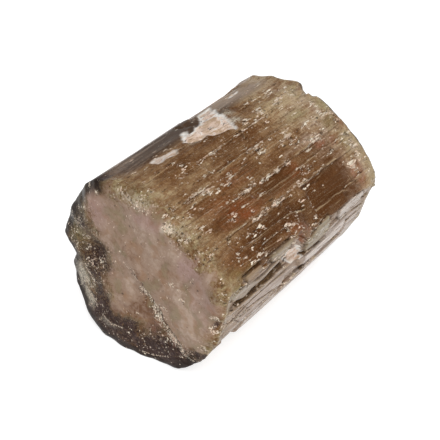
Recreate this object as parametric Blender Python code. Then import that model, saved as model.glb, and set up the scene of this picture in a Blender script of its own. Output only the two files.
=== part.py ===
"""A stubby, striated prism of dravite tourmaline, lying on one of its long faces.

The crystal is one solid. Its axis runs along X, with the flat cleaved end at -X and the rough broken
end at +X. It is a loft: rings of points, one round each cross-section, skinned with faces.

Run with: blender --background --python part.py
"""

import bmesh
import bpy
import numpy as np

# Driving sizes. Everything here is in millimetres, and MM turns it into Blender's metres.
MM = 0.001
LENGTH = 32.3  # along the crystal's axis
STRIP_WIDTH = 0.8  # of one striation, from ridge line to groove line
SEED = 11

# The section's corners, clockwise as seen from the cleaved end. Each row is y, z, how deep the
# striations run on the face from here to the next corner, how wide and how deep the cleaved end's
# edge is worn away here, and the same for the broken end's edge.
CORNERS = (
    (4.2, 24.1, 0.08, 1.3, 0.9, 2.6, 1.1),  # crest, beside the smooth band
    (0.3, 24.5, 0.14, 1.3, 1.0, 2.4, 1.1),
    (-3.5, 23.3, 0.20, 1.3, 1.1, 2.6, 1.3),  # broad upper face
    (-6.6, 21.8, 0.24, 1.3, 1.1, 2.8, 1.5),  # ridge line
    (-9.0, 20.2, 0.26, 1.4, 1.2, 3.0, 1.7),  # ridge line
    (-12.3, 17.5, 0.05, 1.4, 1.2, 3.0, 1.4),  # worn shoulder
    (-12.9, 16.0, 0.22, 1.2, 0.9, 2.6, 1.2),  # undercut side face
    (-11.2, 8.0, 0.24, 1.6, 0.9, 2.4, 1.3),
    (-9.1, 4.1, 0.22, 2.4, 1.2, 2.6, 1.6),
    (-5.8, 1.0, 0.08, 3.2, 1.3, 2.6, 1.6),
    (-4.2, 0.0, 0.00, 3.6, 1.2, 2.6, 1.6),  # the face that it lies on
    (6.6, 0.0, 0.08, 4.0, 0.6, 2.6, 1.6),
    (10.0, 2.0, 0.22, 4.0, 0.8, 3.0, 2.0),
    (11.8, 5.2, 0.22, 3.8, 1.1, 3.0, 2.2),
    (11.9, 8.7, 0.05, 3.4, 1.1, 2.6, 1.8),
    (10.8, 10.6, 0.05, 2.6, 0.9, 2.4, 2.4),  # groove between two columns that grew side by side
    (13.0, 12.7, 0.10, 3.4, 1.4, 2.6, 1.8),
    (12.5, 15.4, 0.26, 3.6, 1.5, 3.0, 2.0),  # back face
    (10.4, 19.4, 0.18, 3.0, 1.5, 2.8, 2.0),
    (8.9, 21.5, 0.08, 2.2, 1.3, 2.6, 1.5),
    (7.2, 23.0, 0.03, 1.6, 1.0, 2.6, 1.2),  # smooth band
)
MIDDLE = (-0.4, 12.0)  # a point well inside the section, which the end faces spread out from

# The lower right side closes in towards the broken end: how much for each millimetre along the axis,
# then the corners where that starts, is in full, is in full until, and stops.
TAPER = 0.045
CLOSING_IN = (5.0, 6.5, 8.0, 9.5)

# Halfway along, the worn shoulder steps down: how far, the corners between which it does, and where along.
SHOULDER_DROP = 1.8
SHOULDER_CORNERS = (4.0, 7.0)
DROP_FROM, DROP_TO = 14.6, 17.4

# Striations: stretches of ridge have broken off, this many on each, from this to that half length, and
# this share of a striation's depth.
BROKEN_STRETCHES = 2
STRETCH_HALF = (1.0, 4.5)
STRETCH_DEPTH = 0.6
FADE_NEAR, FADE_FAR = 0.05, 0.03  # shares of the length in which striations and plates fade out

# Rings: shares of the body's length, and shares of the way from the middle to an end's edge.
BODY_STATIONS = (0.0, 0.018, *np.linspace(0.045, 0.955, 25), 0.982, 1.0)
END_SHARES = (0.985, 0.955, 0.91, 0.84, 0.76, 0.67, 0.57, 0.46, 0.34, 0.21, 0.1)
FLAT_SHARE = 0.4  # of an edge's wear that is a flat bevel; the rest is rounded

# Plates that flaked off, as (x from, x to, from and to round the section, depth). The way round is
# counted in corners, so 5.5 is halfway from the shoulder's corner to the next one.
PLATE_SLOPE = 0.3  # how far a plate's ends slope, to either side
LEDGES = (
    (3.2, 9.4, 5.2, 6.08, 0.40),
    (8.6, 13.4, 4.75, 6.16, 0.45),
    (17.0, 27.0, 5.25, 6.12, 0.35),
    (21.0, 29.5, 4.82, 5.6, 0.35),
    (2.0, 13.0, 6.16, 6.48, 0.55),
    (13.0, 22.0, 6.30, 6.62, 0.50),
    (19.0, 30.0, 6.12, 6.36, 0.40),
    (6.0, 17.0, 6.66, 7.1, 0.45),
    (15.0, 27.5, 6.86, 7.5, 0.50),
    (1.5, 7.0, 7.2, 8.3, 0.40),
    (12.0, 30.0, 3.03, 3.5, 0.18),
    (5.0, 17.5, 4.05, 4.5, 0.22),
    (19.0, 31.0, 4.1, 4.7, 0.26),
    (1.0, 9.0, 2.1, 2.8, 0.14),
    (10.0, 24.0, 1.3, 1.9, 0.14),
    (4.0, 15.0, 12.2, 12.8, 0.40),
    (16.0, 26.0, 12.5, 13.3, 0.45),
    (3.0, 12.0, 16.3, 17.3, 0.35),
    (11.0, 22.0, 17.2, 17.8, 0.40),
    (20.0, 31.0, 16.2, 17.5, 0.45),
    (6.0, 14.0, 18.1, 18.9, 0.30),
    (17.5, 28.0, 18.6, 20.5, 0.28),
)

# Scoops out of the surface, as (x, y, z, length, width, depth).
SCOOPS = (
    (17.4, 3.4, 24.2, 5.6, 2.9, 0.60),  # the large pale chip beside the crest
    (13.6, 3.0, 24.2, 3.8, 1.2, 0.45),
    (19.4, 6.2, 23.6, 2.8, 1.7, 0.50),
    (8.6, 3.6, 24.1, 4.4, 0.9, 0.35),  # the sliver in line with it
    (11.8, -12.7, 15.6, 2.6, 2.0, 0.75),  # the pale chip on the shoulder
    (15.0, -12.2, 13.8, 2.4, 1.2, 0.45),
    (24.6, -12.6, 16.8, 2.6, 1.1, 0.40),
    (31.0, -12.6, 15.2, 2.4, 1.3, 0.60),  # the nick at the far end of the shoulder
    (14.6, -10.4, 6.8, 2.0, 1.9, 0.70),  # a nick in the lower edge
    (7.0, -7.0, 2.8, 3.4, 1.6, 0.45),
    (30.6, -0.8, 24.4, 3.4, 1.2, 0.60),  # the gap between the broken end's two lobes
    (4.4, 12.8, 13.8, 2.6, 2.2, 0.60),  # dents on the back
    (14.0, 12.6, 14.6, 3.6, 1.7, 0.50),
    (22.6, 11.6, 17.4, 2.8, 1.6, 0.45),
    (19.5, 11.4, 6.6, 4.2, 1.6, 0.55),
    (26.4, 9.0, 2.4, 2.8, 1.8, 0.60),
)

# The cleaved end: how far it stands in, and its waves as (height, turns along y, along z, start). A
# crack left a step from one (y, z) to another, which bends aside between two distances along it. Then
# come two hollows in the face and a swelling at its foot, each as (y, z, radius, depth).
CLEAVED_IN = 0.3
WAVES = ((0.12, 0.5, 0.3, 0.6), (0.08, -0.4, 0.8, 0.0))
CRACK_FROM, CRACK_TO = (2.8, 15.0), (-6.2, 3.6)
CRACK_STEP, CRACK_SLOPE = 0.5, 0.25
CRACK_SHIFT, CRACK_BEND, BEND_FROM, BEND_TO = 0.35, 0.7, 10.5, 13.5
STEP_LEFT, STEP_REACH = 0.4, 5.0  # the share of the step that is left this far from the crack
HOLLOWS = ((7.4, 12.8, 1.7, 0.8), (-11.1, 11.3, 0.6, 0.5), (2.2, 0.6, 4.2, -0.9))

# The broken end: how far it stands in, a bowl as (y, z, radius, depth), ledges as (direction along y,
# along z, how far that way each starts and ends, depth), and lumps.
BROKEN_IN = 0.35
BOWL = (3.0, 8.0, 6.7, 0.9)
END_LEDGES = ((0.8, 0.6, 12.0, 13.2, 0.5), (0.5, -0.86, -9.0, -8.0, 0.45))
BROAD_LUMPS, SMALL_LUMPS = 0.22, 0.12

# The groove between the two columns, as a corner's number, fills up away from the cleaved end: how far,
# and over how many corners to either side.
GROOVE, GROOVE_FILL, GROOVE_REACH = 15, 1.1, 0.8

BROWN = (0.17, 0.09, 0.045, 1.0)
ROUGHNESS = 0.28


def smooth_step(value, low, high):
    """0 below low, 1 above high, and an S-shaped rise between."""
    share = np.clip((value - low) / (high - low), 0.0, 1.0)
    return share * share * (3.0 - 2.0 * share)


def columns():
    """Where the columns of points run round the section, counted in corners, such as 5.5."""
    corners = np.array([corner[:2] for corner in CORNERS])
    lengths = np.hypot(*(np.roll(corners, -1, axis=0) - corners).T)
    places = []
    for corner, length in enumerate(lengths):
        strips = max(1, round(length / STRIP_WIDTH))
        if CORNERS[corner][2] == 0.0:
            strips = 2  # the face it lies on is flat
        places.extend(corner + np.arange(strips) / strips)
    return np.array(places)


def from_corners(places, value):
    """A value of the corner table, read at places round the section, straight between corners."""
    table = [row[value] for row in (*CORNERS, CORNERS[0])]
    return np.interp(places, np.arange(len(table)), table)


def outward_at(outline):
    """The outward direction at each point of a closed outline that runs clockwise."""
    along = np.roll(outline, -1, axis=0) - np.roll(outline, 1, axis=0)
    across = np.column_stack([along[:, 1], -along[:, 0]])
    return across / np.hypot(*across.T)[:, None]


def edge_wear(share):
    """From 0 inside an end face to 1 at its edge: partly a flat bevel, partly a quarter round."""
    share = np.clip(share, 0.0, 1.0)
    return FLAT_SHARE * share + (1.0 - FLAT_SHARE) * (1.0 - np.sqrt(1.0 - share**2))


def cleaved_end(y, z):
    """How far the cleaved end stands in from x = 0: gentle waves, the crack's step and the hollows."""
    depth = CLEAVED_IN + sum(height * np.sin(a * y + b * z + start) for height, a, b, start in WAVES)
    start = np.array(CRACK_FROM)
    way = np.subtract(CRACK_TO, CRACK_FROM)
    way = way / np.hypot(*way)
    along = (y - start[0]) * way[0] + (z - start[1]) * way[1]
    beyond = (y - start[0]) * -way[1] + (z - start[1]) * way[0]  # over 0 at the lower left of the crack
    beyond = beyond + CRACK_SHIFT + CRACK_BEND * smooth_step(along, BEND_FROM, BEND_TO)
    step = smooth_step(beyond, -CRACK_SLOPE, CRACK_SLOPE) * smooth_step(along, 0.0, 4.0)
    depth = depth + CRACK_STEP * step * (1.0 - (1.0 - STEP_LEFT) * smooth_step(beyond, 0.5, STEP_REACH))
    for y0, z0, radius, deepest in HOLLOWS:
        away = ((y - y0) ** 2 + (z - z0) ** 2) / radius**2
        depth = depth + deepest * np.exp(-away)
    return depth


def broken_end(y, z):
    """How far the broken end stands in from x = LENGTH: a bowl, two ledges and lumps."""
    bowl_y, bowl_z, radius, deepest = BOWL
    depth = BROKEN_IN + deepest * np.exp(-((y - bowl_y) ** 2 + (z - bowl_z) ** 2) / radius**2)
    for a, b, low, high, ledge in END_LEDGES:
        depth = depth + ledge * smooth_step(a * y + b * z, low, high)
    depth = depth + BROAD_LUMPS * np.sin(0.8 * y + 1.1) * np.sin(0.7 * z + 0.4)
    return depth + SMALL_LUMPS * np.sin(1.7 * y - 0.9 * z)


def striations(rng, places, x):
    """How deep each column lies: every other one is a groove, and stretches of ridge have broken off."""
    faces = np.floor(places).astype(int)
    deepest = np.array([row[2] for row in CORNERS])[faces]
    groove = np.arange(len(places)) % 2 * rng.uniform(0.5, 1.0, len(places))
    depth = np.tile(deepest * groove, (len(x), 1))
    for column in range(len(places)):
        for _ in range(BROKEN_STRETCHES):
            middle = rng.uniform(0.0, LENGTH)
            half = rng.uniform(*STRETCH_HALF)
            depth[:, column] += deepest[column] * STRETCH_DEPTH * (np.abs(x[:, column] - middle) < half)
    return depth


def flaked(places, x):
    """How deep the flaked plates lie at each point, with steep sides."""
    depth = np.zeros(x.shape)
    for x_from, x_to, from_place, to_place, deepest in LEDGES:
        inside = smooth_step(x, x_from - PLATE_SLOPE, x_from + PLATE_SLOPE)
        inside = inside * smooth_step(-x, -x_to - PLATE_SLOPE, -x_to + PLATE_SLOPE)
        across = (places >= from_place) & (places <= to_place)
        depth = np.maximum(depth, deepest * inside * across)
    return depth


def groove_fill(places, x):
    """How far the groove between the two columns is filled: more and less in turn along the axis."""
    near_groove = np.clip(1.0 - np.abs(places - GROOVE) / GROOVE_REACH, 0.0, 1.0)
    along = smooth_step(x, 2.0, 9.0) * (0.65 + 0.35 * np.sin(0.62 * x - 1.4))
    return GROOVE_FILL * near_groove * along


def shoulder_drop(places, x):
    """How much lower the shoulder and the top of the side face lie, from halfway along on."""
    from_corner, to_corner = SHOULDER_CORNERS
    on_shoulder = np.clip(np.minimum(places - from_corner, to_corner - places), 0.0, 1.0)
    return SHOULDER_DROP * on_shoulder * smooth_step(x, DROP_FROM, DROP_TO)


def scooped(points):
    """How deep the scoops cut at each point: an ellipse-shaped bowl for each one."""
    depth = np.zeros(points.shape[:-1])
    for x, y, z, length, width, deepest in SCOOPS:
        offset = (points - (x, y, z)) / (length / 2, width, width)
        away = (offset**2).sum(axis=-1)
        depth = np.maximum(depth, deepest * np.clip(1.0 - away, 0.0, 1.0) ** 0.7)
    return depth


def body_rings(rng, places):
    """(stations, columns, 3) points along the prism, from the cleaved end's edge to the broken one's."""
    outline = np.column_stack([from_corners(places, 0), from_corners(places, 1)])
    outward = outward_at(outline)
    start = cleaved_end(*outline.T) + from_corners(places, 4)
    end = LENGTH - broken_end(*outline.T) - from_corners(places, 6)
    share = np.array(BODY_STATIONS)[:, None]
    x = start + (end - start) * share
    fade = smooth_step(share, 0.0, FADE_NEAR) * smooth_step(1.0 - share, 0.0, FADE_FAR)
    starts, full, full_until, stops = CLOSING_IN
    lower_right = smooth_step(places, starts, full) * smooth_step(-places, -stops, -full_until)
    sunk = (striations(rng, places, x) + flaked(places, x)) * fade + TAPER * x * lower_right
    points = np.empty((*x.shape, 3))
    points[..., 0] = x
    points[..., 1:] = outline - outward * (sunk - groove_fill(places, x))[..., None]
    points[..., 2] -= shoulder_drop(places, x)
    points[..., 1:] -= outward * scooped(points)[..., None]
    points[..., 2] = np.maximum(points[..., 2], 0.0)
    return points


def end_rings(places, edge, face, width_value, drop_value):
    """Rings from just inside an end's edge to its middle, as (how far each point stands in, y, z)."""
    reach = np.hypot(*(edge[:, 1:] - MIDDLE).T)
    wear_width, wear_drop = from_corners(places, width_value), from_corners(places, drop_value)
    rings = []
    for share in (*END_SHARES, 0.0):
        yz = MIDDLE + (edge[:, 1:] - MIDDLE) * share
        from_edge = reach * (1.0 - share)
        wear = wear_drop * edge_wear(1.0 - from_edge / wear_width)
        rings.append(np.column_stack([face(*yz.T) + wear, yz]))
    return np.array(rings)


def crystal_rings():
    """All the rings from one end to the other, and the two points that close the ends, in millimetres."""
    rng = np.random.default_rng(SEED)
    places = columns()
    body = body_rings(rng, places)
    near = end_rings(places, body[0], cleaved_end, 3, 4)
    far = end_rings(places, body[-1], broken_end, 5, 6)
    far[..., 0] = LENGTH - far[..., 0]
    rings = np.concatenate([near[-2::-1], body, far[:-1]])
    return rings, near[-1].mean(axis=0), far[-1].mean(axis=0)


def footprint_middle(rings):
    """The point under the middle of the crystal's box."""
    low, high = rings.min(axis=(0, 1)), rings.max(axis=(0, 1))
    return np.array([(low[0] + high[0]) / 2, (low[1] + high[1]) / 2, 0.0])


def skin(name, rings, first, last):
    """A mesh with faces between each ring and the next, and fans that close both ends."""
    bm = bmesh.new()
    tip = bm.verts.new(first)
    loops = [[bm.verts.new(point) for point in ring] for ring in rings]
    tail = bm.verts.new(last)
    for i in range(len(loops[0])):
        after = (i + 1) % len(loops[0])
        bm.faces.new((tip, loops[0][after], loops[0][i]))
        for near, far in zip(loops, loops[1:]):
            bm.faces.new((near[i], near[after], far[after], far[i]))
        bm.faces.new((loops[-1][i], loops[-1][after], tail))
    bmesh.ops.triangulate(bm, faces=bm.faces[:], quad_method="BEAUTY")
    bmesh.ops.recalc_face_normals(bm, faces=bm.faces[:])
    mesh = bpy.data.meshes.new(name)
    bm.to_mesh(mesh)
    bm.free()
    return mesh


def crystal_mesh():
    """The whole crystal, in metres, with the middle of its footprint at the origin."""
    rings, near_middle, far_middle = crystal_rings()
    origin = footprint_middle(rings)
    return skin("crystal", (rings - origin) * MM, (near_middle - origin) * MM, (far_middle - origin) * MM)


def crystal_material():
    """Brown, glassy tourmaline."""
    material = bpy.data.materials.new("dravite")
    material.use_nodes = True
    shader = material.node_tree.nodes["Principled BSDF"]
    shader.inputs["Base Color"].default_value = BROWN
    shader.inputs["Roughness"].default_value = ROUGHNESS
    shader.inputs["Metallic"].default_value = 0.0
    return material


def main():
    for old in list(bpy.data.objects):
        bpy.data.objects.remove(old)
    collection = bpy.data.collections.new("dravite_crystal")
    bpy.context.scene.collection.children.link(collection)
    crystal = bpy.data.objects.new("crystal", crystal_mesh())
    crystal.data.materials.append(crystal_material())
    collection.objects.link(crystal)


main()
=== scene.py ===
# %% [markdown]
# # A dravite tourmaline crystal
#
# A stubby brown prism of tourmaline, about as long as the top joint of a thumb, lies on a white
# surface. One end is a flat break through the crystal, with a pale mauve heart. The other end is rough
# and rounded. Fine grooves run along its faces, and small chips catch the light.
#
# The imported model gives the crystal's real size and place. This script gives the crystal a surface with
# all its fine grooves, chips and colours, in the same place and of the same size.

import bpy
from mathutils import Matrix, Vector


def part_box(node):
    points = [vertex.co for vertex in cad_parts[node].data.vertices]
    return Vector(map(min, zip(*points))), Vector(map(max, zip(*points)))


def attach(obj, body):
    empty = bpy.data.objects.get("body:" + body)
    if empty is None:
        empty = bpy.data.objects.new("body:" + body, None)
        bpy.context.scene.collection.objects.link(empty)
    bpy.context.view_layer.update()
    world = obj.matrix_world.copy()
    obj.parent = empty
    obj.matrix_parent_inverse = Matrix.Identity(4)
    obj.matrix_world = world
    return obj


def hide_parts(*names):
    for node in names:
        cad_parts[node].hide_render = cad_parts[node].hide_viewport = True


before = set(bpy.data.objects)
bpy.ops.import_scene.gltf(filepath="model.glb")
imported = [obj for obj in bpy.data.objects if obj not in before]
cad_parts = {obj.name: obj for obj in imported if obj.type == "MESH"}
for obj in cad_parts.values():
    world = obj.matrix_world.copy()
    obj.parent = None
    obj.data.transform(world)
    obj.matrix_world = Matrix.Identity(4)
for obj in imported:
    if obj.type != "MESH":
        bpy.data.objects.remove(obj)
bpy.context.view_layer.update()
print("packed nodes:", list(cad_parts))

# %% [markdown]
# ## The section
#
# A tourmaline prism has many long faces, which meet at blunt edges. Cut across, it is a rounded
# polygon. The table below lists the polygon's corners, clockwise as seen from the flat end. Each row
# also says how strongly the next face is grooved, and how the two ends are worn away at that corner.
#
# A polygon read by interpolation was chosen over a curve object, because every later step needs a
# formula that answers for many points at once: where is the surface, at this distance round it?

import bpy
import numpy as np
from mathutils import Matrix, Vector

MM = 0.001
LENGTH = 32.3
CORNERS = np.array([
    # y, z, grooves, flat end's wear: width, depth, rough end's wear: width, depth
    (4.2, 24.1, 0.08, 1.3, 0.9, 2.6, 1.1),  # 0 crest, beside the smooth band
    (0.3, 24.5, 0.14, 1.3, 1.0, 2.4, 1.1),
    (-3.5, 23.3, 0.2, 1.3, 1.1, 2.6, 1.3),  # 2 broad upper face
    (-6.6, 21.8, 0.24, 1.3, 1.1, 2.8, 1.5),  # 3 ridge line
    (-9.0, 20.2, 0.26, 1.4, 1.2, 3.0, 1.7),  # 4 ridge line
    (-12.3, 17.5, 0.05, 1.4, 1.2, 3.0, 1.4),  # 5 worn shoulder
    (-12.9, 16.0, 0.22, 1.2, 0.9, 2.6, 1.2),  # 6 undercut side face
    (-11.2, 8.0, 0.24, 1.6, 0.9, 2.4, 1.3),
    (-9.1, 4.1, 0.22, 2.4, 1.2, 2.6, 1.6),
    (-5.8, 1.0, 0.08, 3.2, 1.3, 2.6, 1.6),
    (-4.2, 0.0, 0.0, 3.6, 1.2, 2.6, 1.6),  # 10 the face that it lies on
    (6.6, 0.0, 0.08, 4.0, 0.6, 2.6, 1.6),
    (10.0, 2.0, 0.22, 4.0, 0.8, 3.0, 2.0),
    (11.8, 5.2, 0.22, 3.8, 1.1, 3.0, 2.2),
    (11.9, 8.7, 0.05, 3.4, 1.1, 2.6, 1.8),
    (10.8, 10.6, 0.05, 2.6, 0.9, 2.4, 2.4),  # 15 groove between two columns that grew side by side
    (13.0, 12.7, 0.1, 3.4, 1.4, 2.6, 1.8),
    (12.5, 15.4, 0.26, 3.6, 1.5, 3.0, 2.0),  # 17 back face
    (10.4, 19.4, 0.18, 3.0, 1.5, 2.8, 2.0),
    (8.9, 21.5, 0.08, 2.2, 1.3, 2.6, 1.5),
    (7.2, 23.0, 0.03, 1.6, 1.0, 2.6, 1.2),  # 20 smooth band
])
Y, Z, GROOVES, FLAT_WIDTH, FLAT_DEPTH, ROUGH_WIDTH, ROUGH_DEPTH = range(7)
MIDDLE = np.array([-0.4, 12.0])  # a point well inside the section
RESTING = 10  # the corner where the resting face starts

loop = np.vstack([CORNERS, CORNERS[:1]])
ways = np.concatenate([[0.0], np.cumsum(np.hypot(*np.diff(loop[:, :2], axis=0).T))])
GIRTH = ways[-1]
print(f"{len(CORNERS)} corners, {GIRTH:.1f} mm round")

# %% [markdown]
# Two numbers say where something is round the section. The *way* is the distance in millimetres from
# corner 0. The *place* counts corners, so that 5.5 is halfway from corner 5 to corner 6. The real edges
# aren't knife-sharp, so the outline is the mean of three nearby points of the polygon.

# %% Read the section at any way round
SOFTEN = 0.22  # how far each side of a point the outline is averaged, in millimetres


def place_of(way):
    """The place at a way round the section."""
    return np.interp(way % GIRTH, ways, np.arange(len(ways)))


def corner_value(way, column):
    """A column of the corner table, straight between corners, at each way."""
    return np.interp(way % GIRTH, ways, loop[:, column])


def outline(way):
    """(y, z) of the outline at each way: the mean of the polygon there and a little to both sides."""
    nearby = [np.stack([corner_value(way + step, c) for c in (Y, Z)], -1) for step in (-SOFTEN, 0.0, SOFTEN)]
    return np.mean(nearby, axis=0)


def outward(way):
    """The outward direction: the outline's own direction, turned by a right angle."""
    along = outline(way + 0.4) - outline(way - 0.4)
    across = np.stack([along[..., 1], -along[..., 0]], -1)
    return across / np.linalg.norm(across, axis=-1, keepdims=True)


print("top of the section:", outline(np.linspace(0, GIRTH, 400))[:, 1].max().round(2), "mm")

# %% [markdown]
# ## Roughness from random numbers
#
# Natural surfaces repeat nothing, but their bumps have a size. Lattice noise gives that: random heights
# on a grid of points, and a blend between them. Straight blends make flat facets with sharp valleys,
# which suits the grooves. S-shaped blends make soft swells.

# %% Random heights, and an S-shaped rise
LATTICE = 512  # random heights along each side of their table
MIDWAY = 100.0  # cells from the table's corner to where x, y and z are 0


def rise(value, low, high):
    """0 below low, 1 above high, and an S-shaped rise between."""
    share = np.clip((value - low) / (high - low), 0.0, 1.0)
    return share * share * (3.0 - 2.0 * share)


def heights(u, v, seed, cells_round=None, facets=False):
    """Random heights from -1 to 1 on whole numbers of u and v, blended between them."""
    table = np.random.default_rng(seed).uniform(-1.0, 1.0, (LATTICE, LATTICE))
    low_u, low_v = np.floor(u).astype(int), np.floor(v).astype(int)
    share_u, share_v = u - low_u, v - low_v
    if not facets:
        share_u = rise(share_u, 0.0, 1.0)
    share_v = rise(share_v, 0.0, 1.0)
    wrap = cells_round or LATTICE
    left, right = low_u % wrap, (low_u + 1) % wrap
    below, above = low_v % LATTICE, (low_v + 1) % LATTICE
    first = table[left, below] * (1 - share_u) + table[right, below] * share_u
    second = table[left, above] * (1 - share_u) + table[right, above] * share_u
    return first * (1 - share_v) + second * share_v


def ribs(way, x, width, length, seed, facets=True):
    """Random ribs that run along the crystal, about this wide and long, closed round the section."""
    cells = round(GIRTH / width)
    return heights(way % GIRTH / GIRTH * cells, x / length + MIDWAY, seed, cells, facets)


def swells(y, z, size, seed):
    """Soft random swells on an end face, about this size."""
    return heights(y / size + MIDWAY, z / size + MIDWAY, seed)


print("ribs run from", ribs(np.linspace(0, GIRTH, 900), 5.0, 1.0, 8.0, 1).min().round(2), "to 1")

# %% [markdown]
# ## The two ends
#
# The flat end is a break straight across the crystal. It has low waves, a crack that left one side
# lower than the other, and a few hollows. The rough end has a shallow bowl, ledges, terraces and lumps,
# which fade towards its edge. Each is a formula for how far the surface stands in from its end of the
# crystal. Both edges are worn: a bevel that turns into a rounded lip.

# %% The end faces as formulas
CRACK_FROM, CRACK_TO = np.array([2.8, 15.0]), np.array([-6.2, 3.6])
CRACK_STEP = 0.5  # how much lower its lower left side is
CRACK_SHIFT = 0.35  # how far it lies to the right of the line between its ends
CRACK_BEND = 0.7  # how much farther, near the foot
HOLLOWS = (
    # y, z, radius, depth
    (7.4, 12.8, 1.7, 0.8),
    (-11.1, 11.3, 0.6, 0.5),
    (2.2, 0.6, 4.2, -0.9),
)
FLAT_SHARE = 0.4  # how much of a worn edge is a flat bevel


def crack_distances(y, z):
    """How far along the crack a point lies, and how far to its lower left."""
    way = (CRACK_TO - CRACK_FROM) / np.linalg.norm(CRACK_TO - CRACK_FROM)
    wander = 0.28 * swells(y, z, 1.3, 21) + 0.12 * swells(y, z, 0.5, 22)
    along = (y - CRACK_FROM[0]) * way[0] + (z - CRACK_FROM[1]) * way[1]
    beyond = (y - CRACK_FROM[0]) * -way[1] + (z - CRACK_FROM[1]) * way[0]
    return along, beyond + wander + CRACK_SHIFT + CRACK_BEND * rise(along, 10.5, 13.5)


def flat_end(y, z):
    """How far the flat end stands in: low waves, the crack's step, hollows and a fine roughness."""
    depth = 0.3 + 0.12 * np.sin(0.5 * y + 0.3 * z + 0.6) + 0.08 * np.sin(0.8 * z - 0.4 * y)
    along, beyond = crack_distances(y, z)
    step = rise(beyond, -0.12, 0.12) * rise(along, 0.0, 4.0)
    depth = depth + CRACK_STEP * step * (1.0 - 0.6 * rise(beyond, 0.5, 5.0))
    gash = np.exp(-((beyond / 0.24) ** 2)) * rise(along, 1.0, 4.0)
    depth = depth + gash * (0.3 + 0.2 * swells(y, z, 0.6, 23))
    for y0, z0, radius, deepest in HOLLOWS:
        depth = depth + deepest * np.exp(-((y - y0) ** 2 + (z - z0) ** 2) / radius**2)
    rough = 0.13 * swells(y, z, 2.6, 24) + 0.05 * swells(y, z, 0.9, 25) + 0.03 * swells(y, z, 0.4, 26)
    return depth + rough


def rough_end(y, z):
    """How far the rough end stands in: a bowl, two ledges, terraces, lumps and roughness."""
    depth = 0.3 + 0.9 * np.exp(-((y - 3.0) ** 2 + (z - 8.0) ** 2) / 45.0)
    inner = 1.0 - rise(np.hypot(y - MIDDLE[0], z - MIDDLE[1]), 8.0, 11.5)
    wander = (0.5 * swells(y, z, 1.8, 31) + 0.15 * swells(y, z, 0.6, 35)) * (0.2 + 0.8 * inner)
    depth = depth + 0.5 * rise(0.8 * y + 0.6 * z + wander, 12.0, 12.3)
    depth = depth + 0.45 * rise(0.5 * y - 0.86 * z + wander, -9.0, -8.7)
    depth = depth + 0.5 * inner * rise(swells(y, z, 3.8, 36) + 0.1 * wander, -0.05, 0.03)
    depth = depth + 0.3 * inner * rise(swells(y, z, 2.2, 37) + 0.1 * wander, 0.1, 0.16)
    depth = depth + 0.22 * np.sin(0.8 * y + 1.1) * np.sin(0.7 * z + 0.4) + 0.12 * np.sin(1.7 * y - 0.9 * z)
    rough = 0.16 * swells(y, z, 1.7, 32) + 0.08 * swells(y, z, 0.7, 33) + 0.04 * swells(y, z, 0.33, 34)
    return depth + rough * (0.65 + 0.35 * inner)


def worn(share):
    """From 0 inside an end face to 1 at its edge: partly a flat bevel, partly a quarter round."""
    share = np.clip(share, 0.0, 1.0)
    return FLAT_SHARE * share + (1.0 - FLAT_SHARE) * (1.0 - np.sqrt(1.0 - share**2))


print(f"in the middle, the ends stand in by {flat_end(*MIDDLE):.2f} and {rough_end(*MIDDLE):.2f} mm")

# %% [markdown]
# ## What has broken off the long faces
#
# Plates flake off a tourmaline along its length, and leave ledges with ragged ends. Knocks leave
# scooped chips, which are paler than the rest because light scatters in them. Gashes run into the side
# face. All of these are listed, where the real crystal has them. The hundreds of small flakes
# are scattered by a seeded random generator, so that each run gives the same crystal.
#
# Most of these forms are a line with a width or a closed outline, drawn in x and way. Near corner 0 the
# way jumps from the girth to 0, so the smooth band beside it is given by negative ways.

# %% Lines, outlines and ragged edges
def signed_way(way):
    """The way, counted backwards from corner 0 on the last quarter round."""
    return np.where(way > 0.75 * GIRTH, way - GIRTH, way)


def from_line(x, way, corners):
    """The distance from each point to a line through the corners."""
    nearest = np.full(np.shape(x), np.inf)
    for (x0, way0), (x1, way1) in zip(corners, corners[1:]):
        dx, dw = x1 - x0, way1 - way0
        share = np.clip(((x - x0) * dx + (way - way0) * dw) / (dx**2 + dw**2), 0.0, 1.0)
        nearest = np.minimum(nearest, np.hypot(x - x0 - share * dx, way - way0 - share * dw))
    return nearest


def inside_outline(x, way, corners):
    """How far inside a closed outline each point lies, and less than 0 outside."""
    closed = (*corners, corners[0])
    inside = np.zeros(np.shape(x), bool)
    for (x0, way0), (x1, way1) in zip(closed, closed[1:]):
        if way0 != way1:
            inside ^= ((way0 > way) != (way1 > way)) & (x < x0 + (way - way0) * (x1 - x0) / (way1 - way0))
    return from_line(x, way, closed) * np.where(inside, 1.0, -1.0)


def ragged(way, x):
    """Two wobbles, along and across: plates end raggedly, but their long sides are nearly straight."""
    along = 0.5 * ribs(way, x, 0.9, 3.0, 41) + 0.2 * ribs(way, x, 0.4, 1.0, 42)
    across = 0.06 * ribs(way, x, 1.5, 4.0, 43, facets=False) + 0.05 * ribs(way, x, 0.5, 0.8, 44, facets=False)
    return along, across


print("to a line one millimetre away:", from_line(0.0, 0.0, ((-1.0, 1.0), (1.0, 1.0))), "mm")

# %% [markdown]
# A plate is bounded by two places round the section and two distances along it. Where two plates
# overlap, the deeper one counts.

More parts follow.
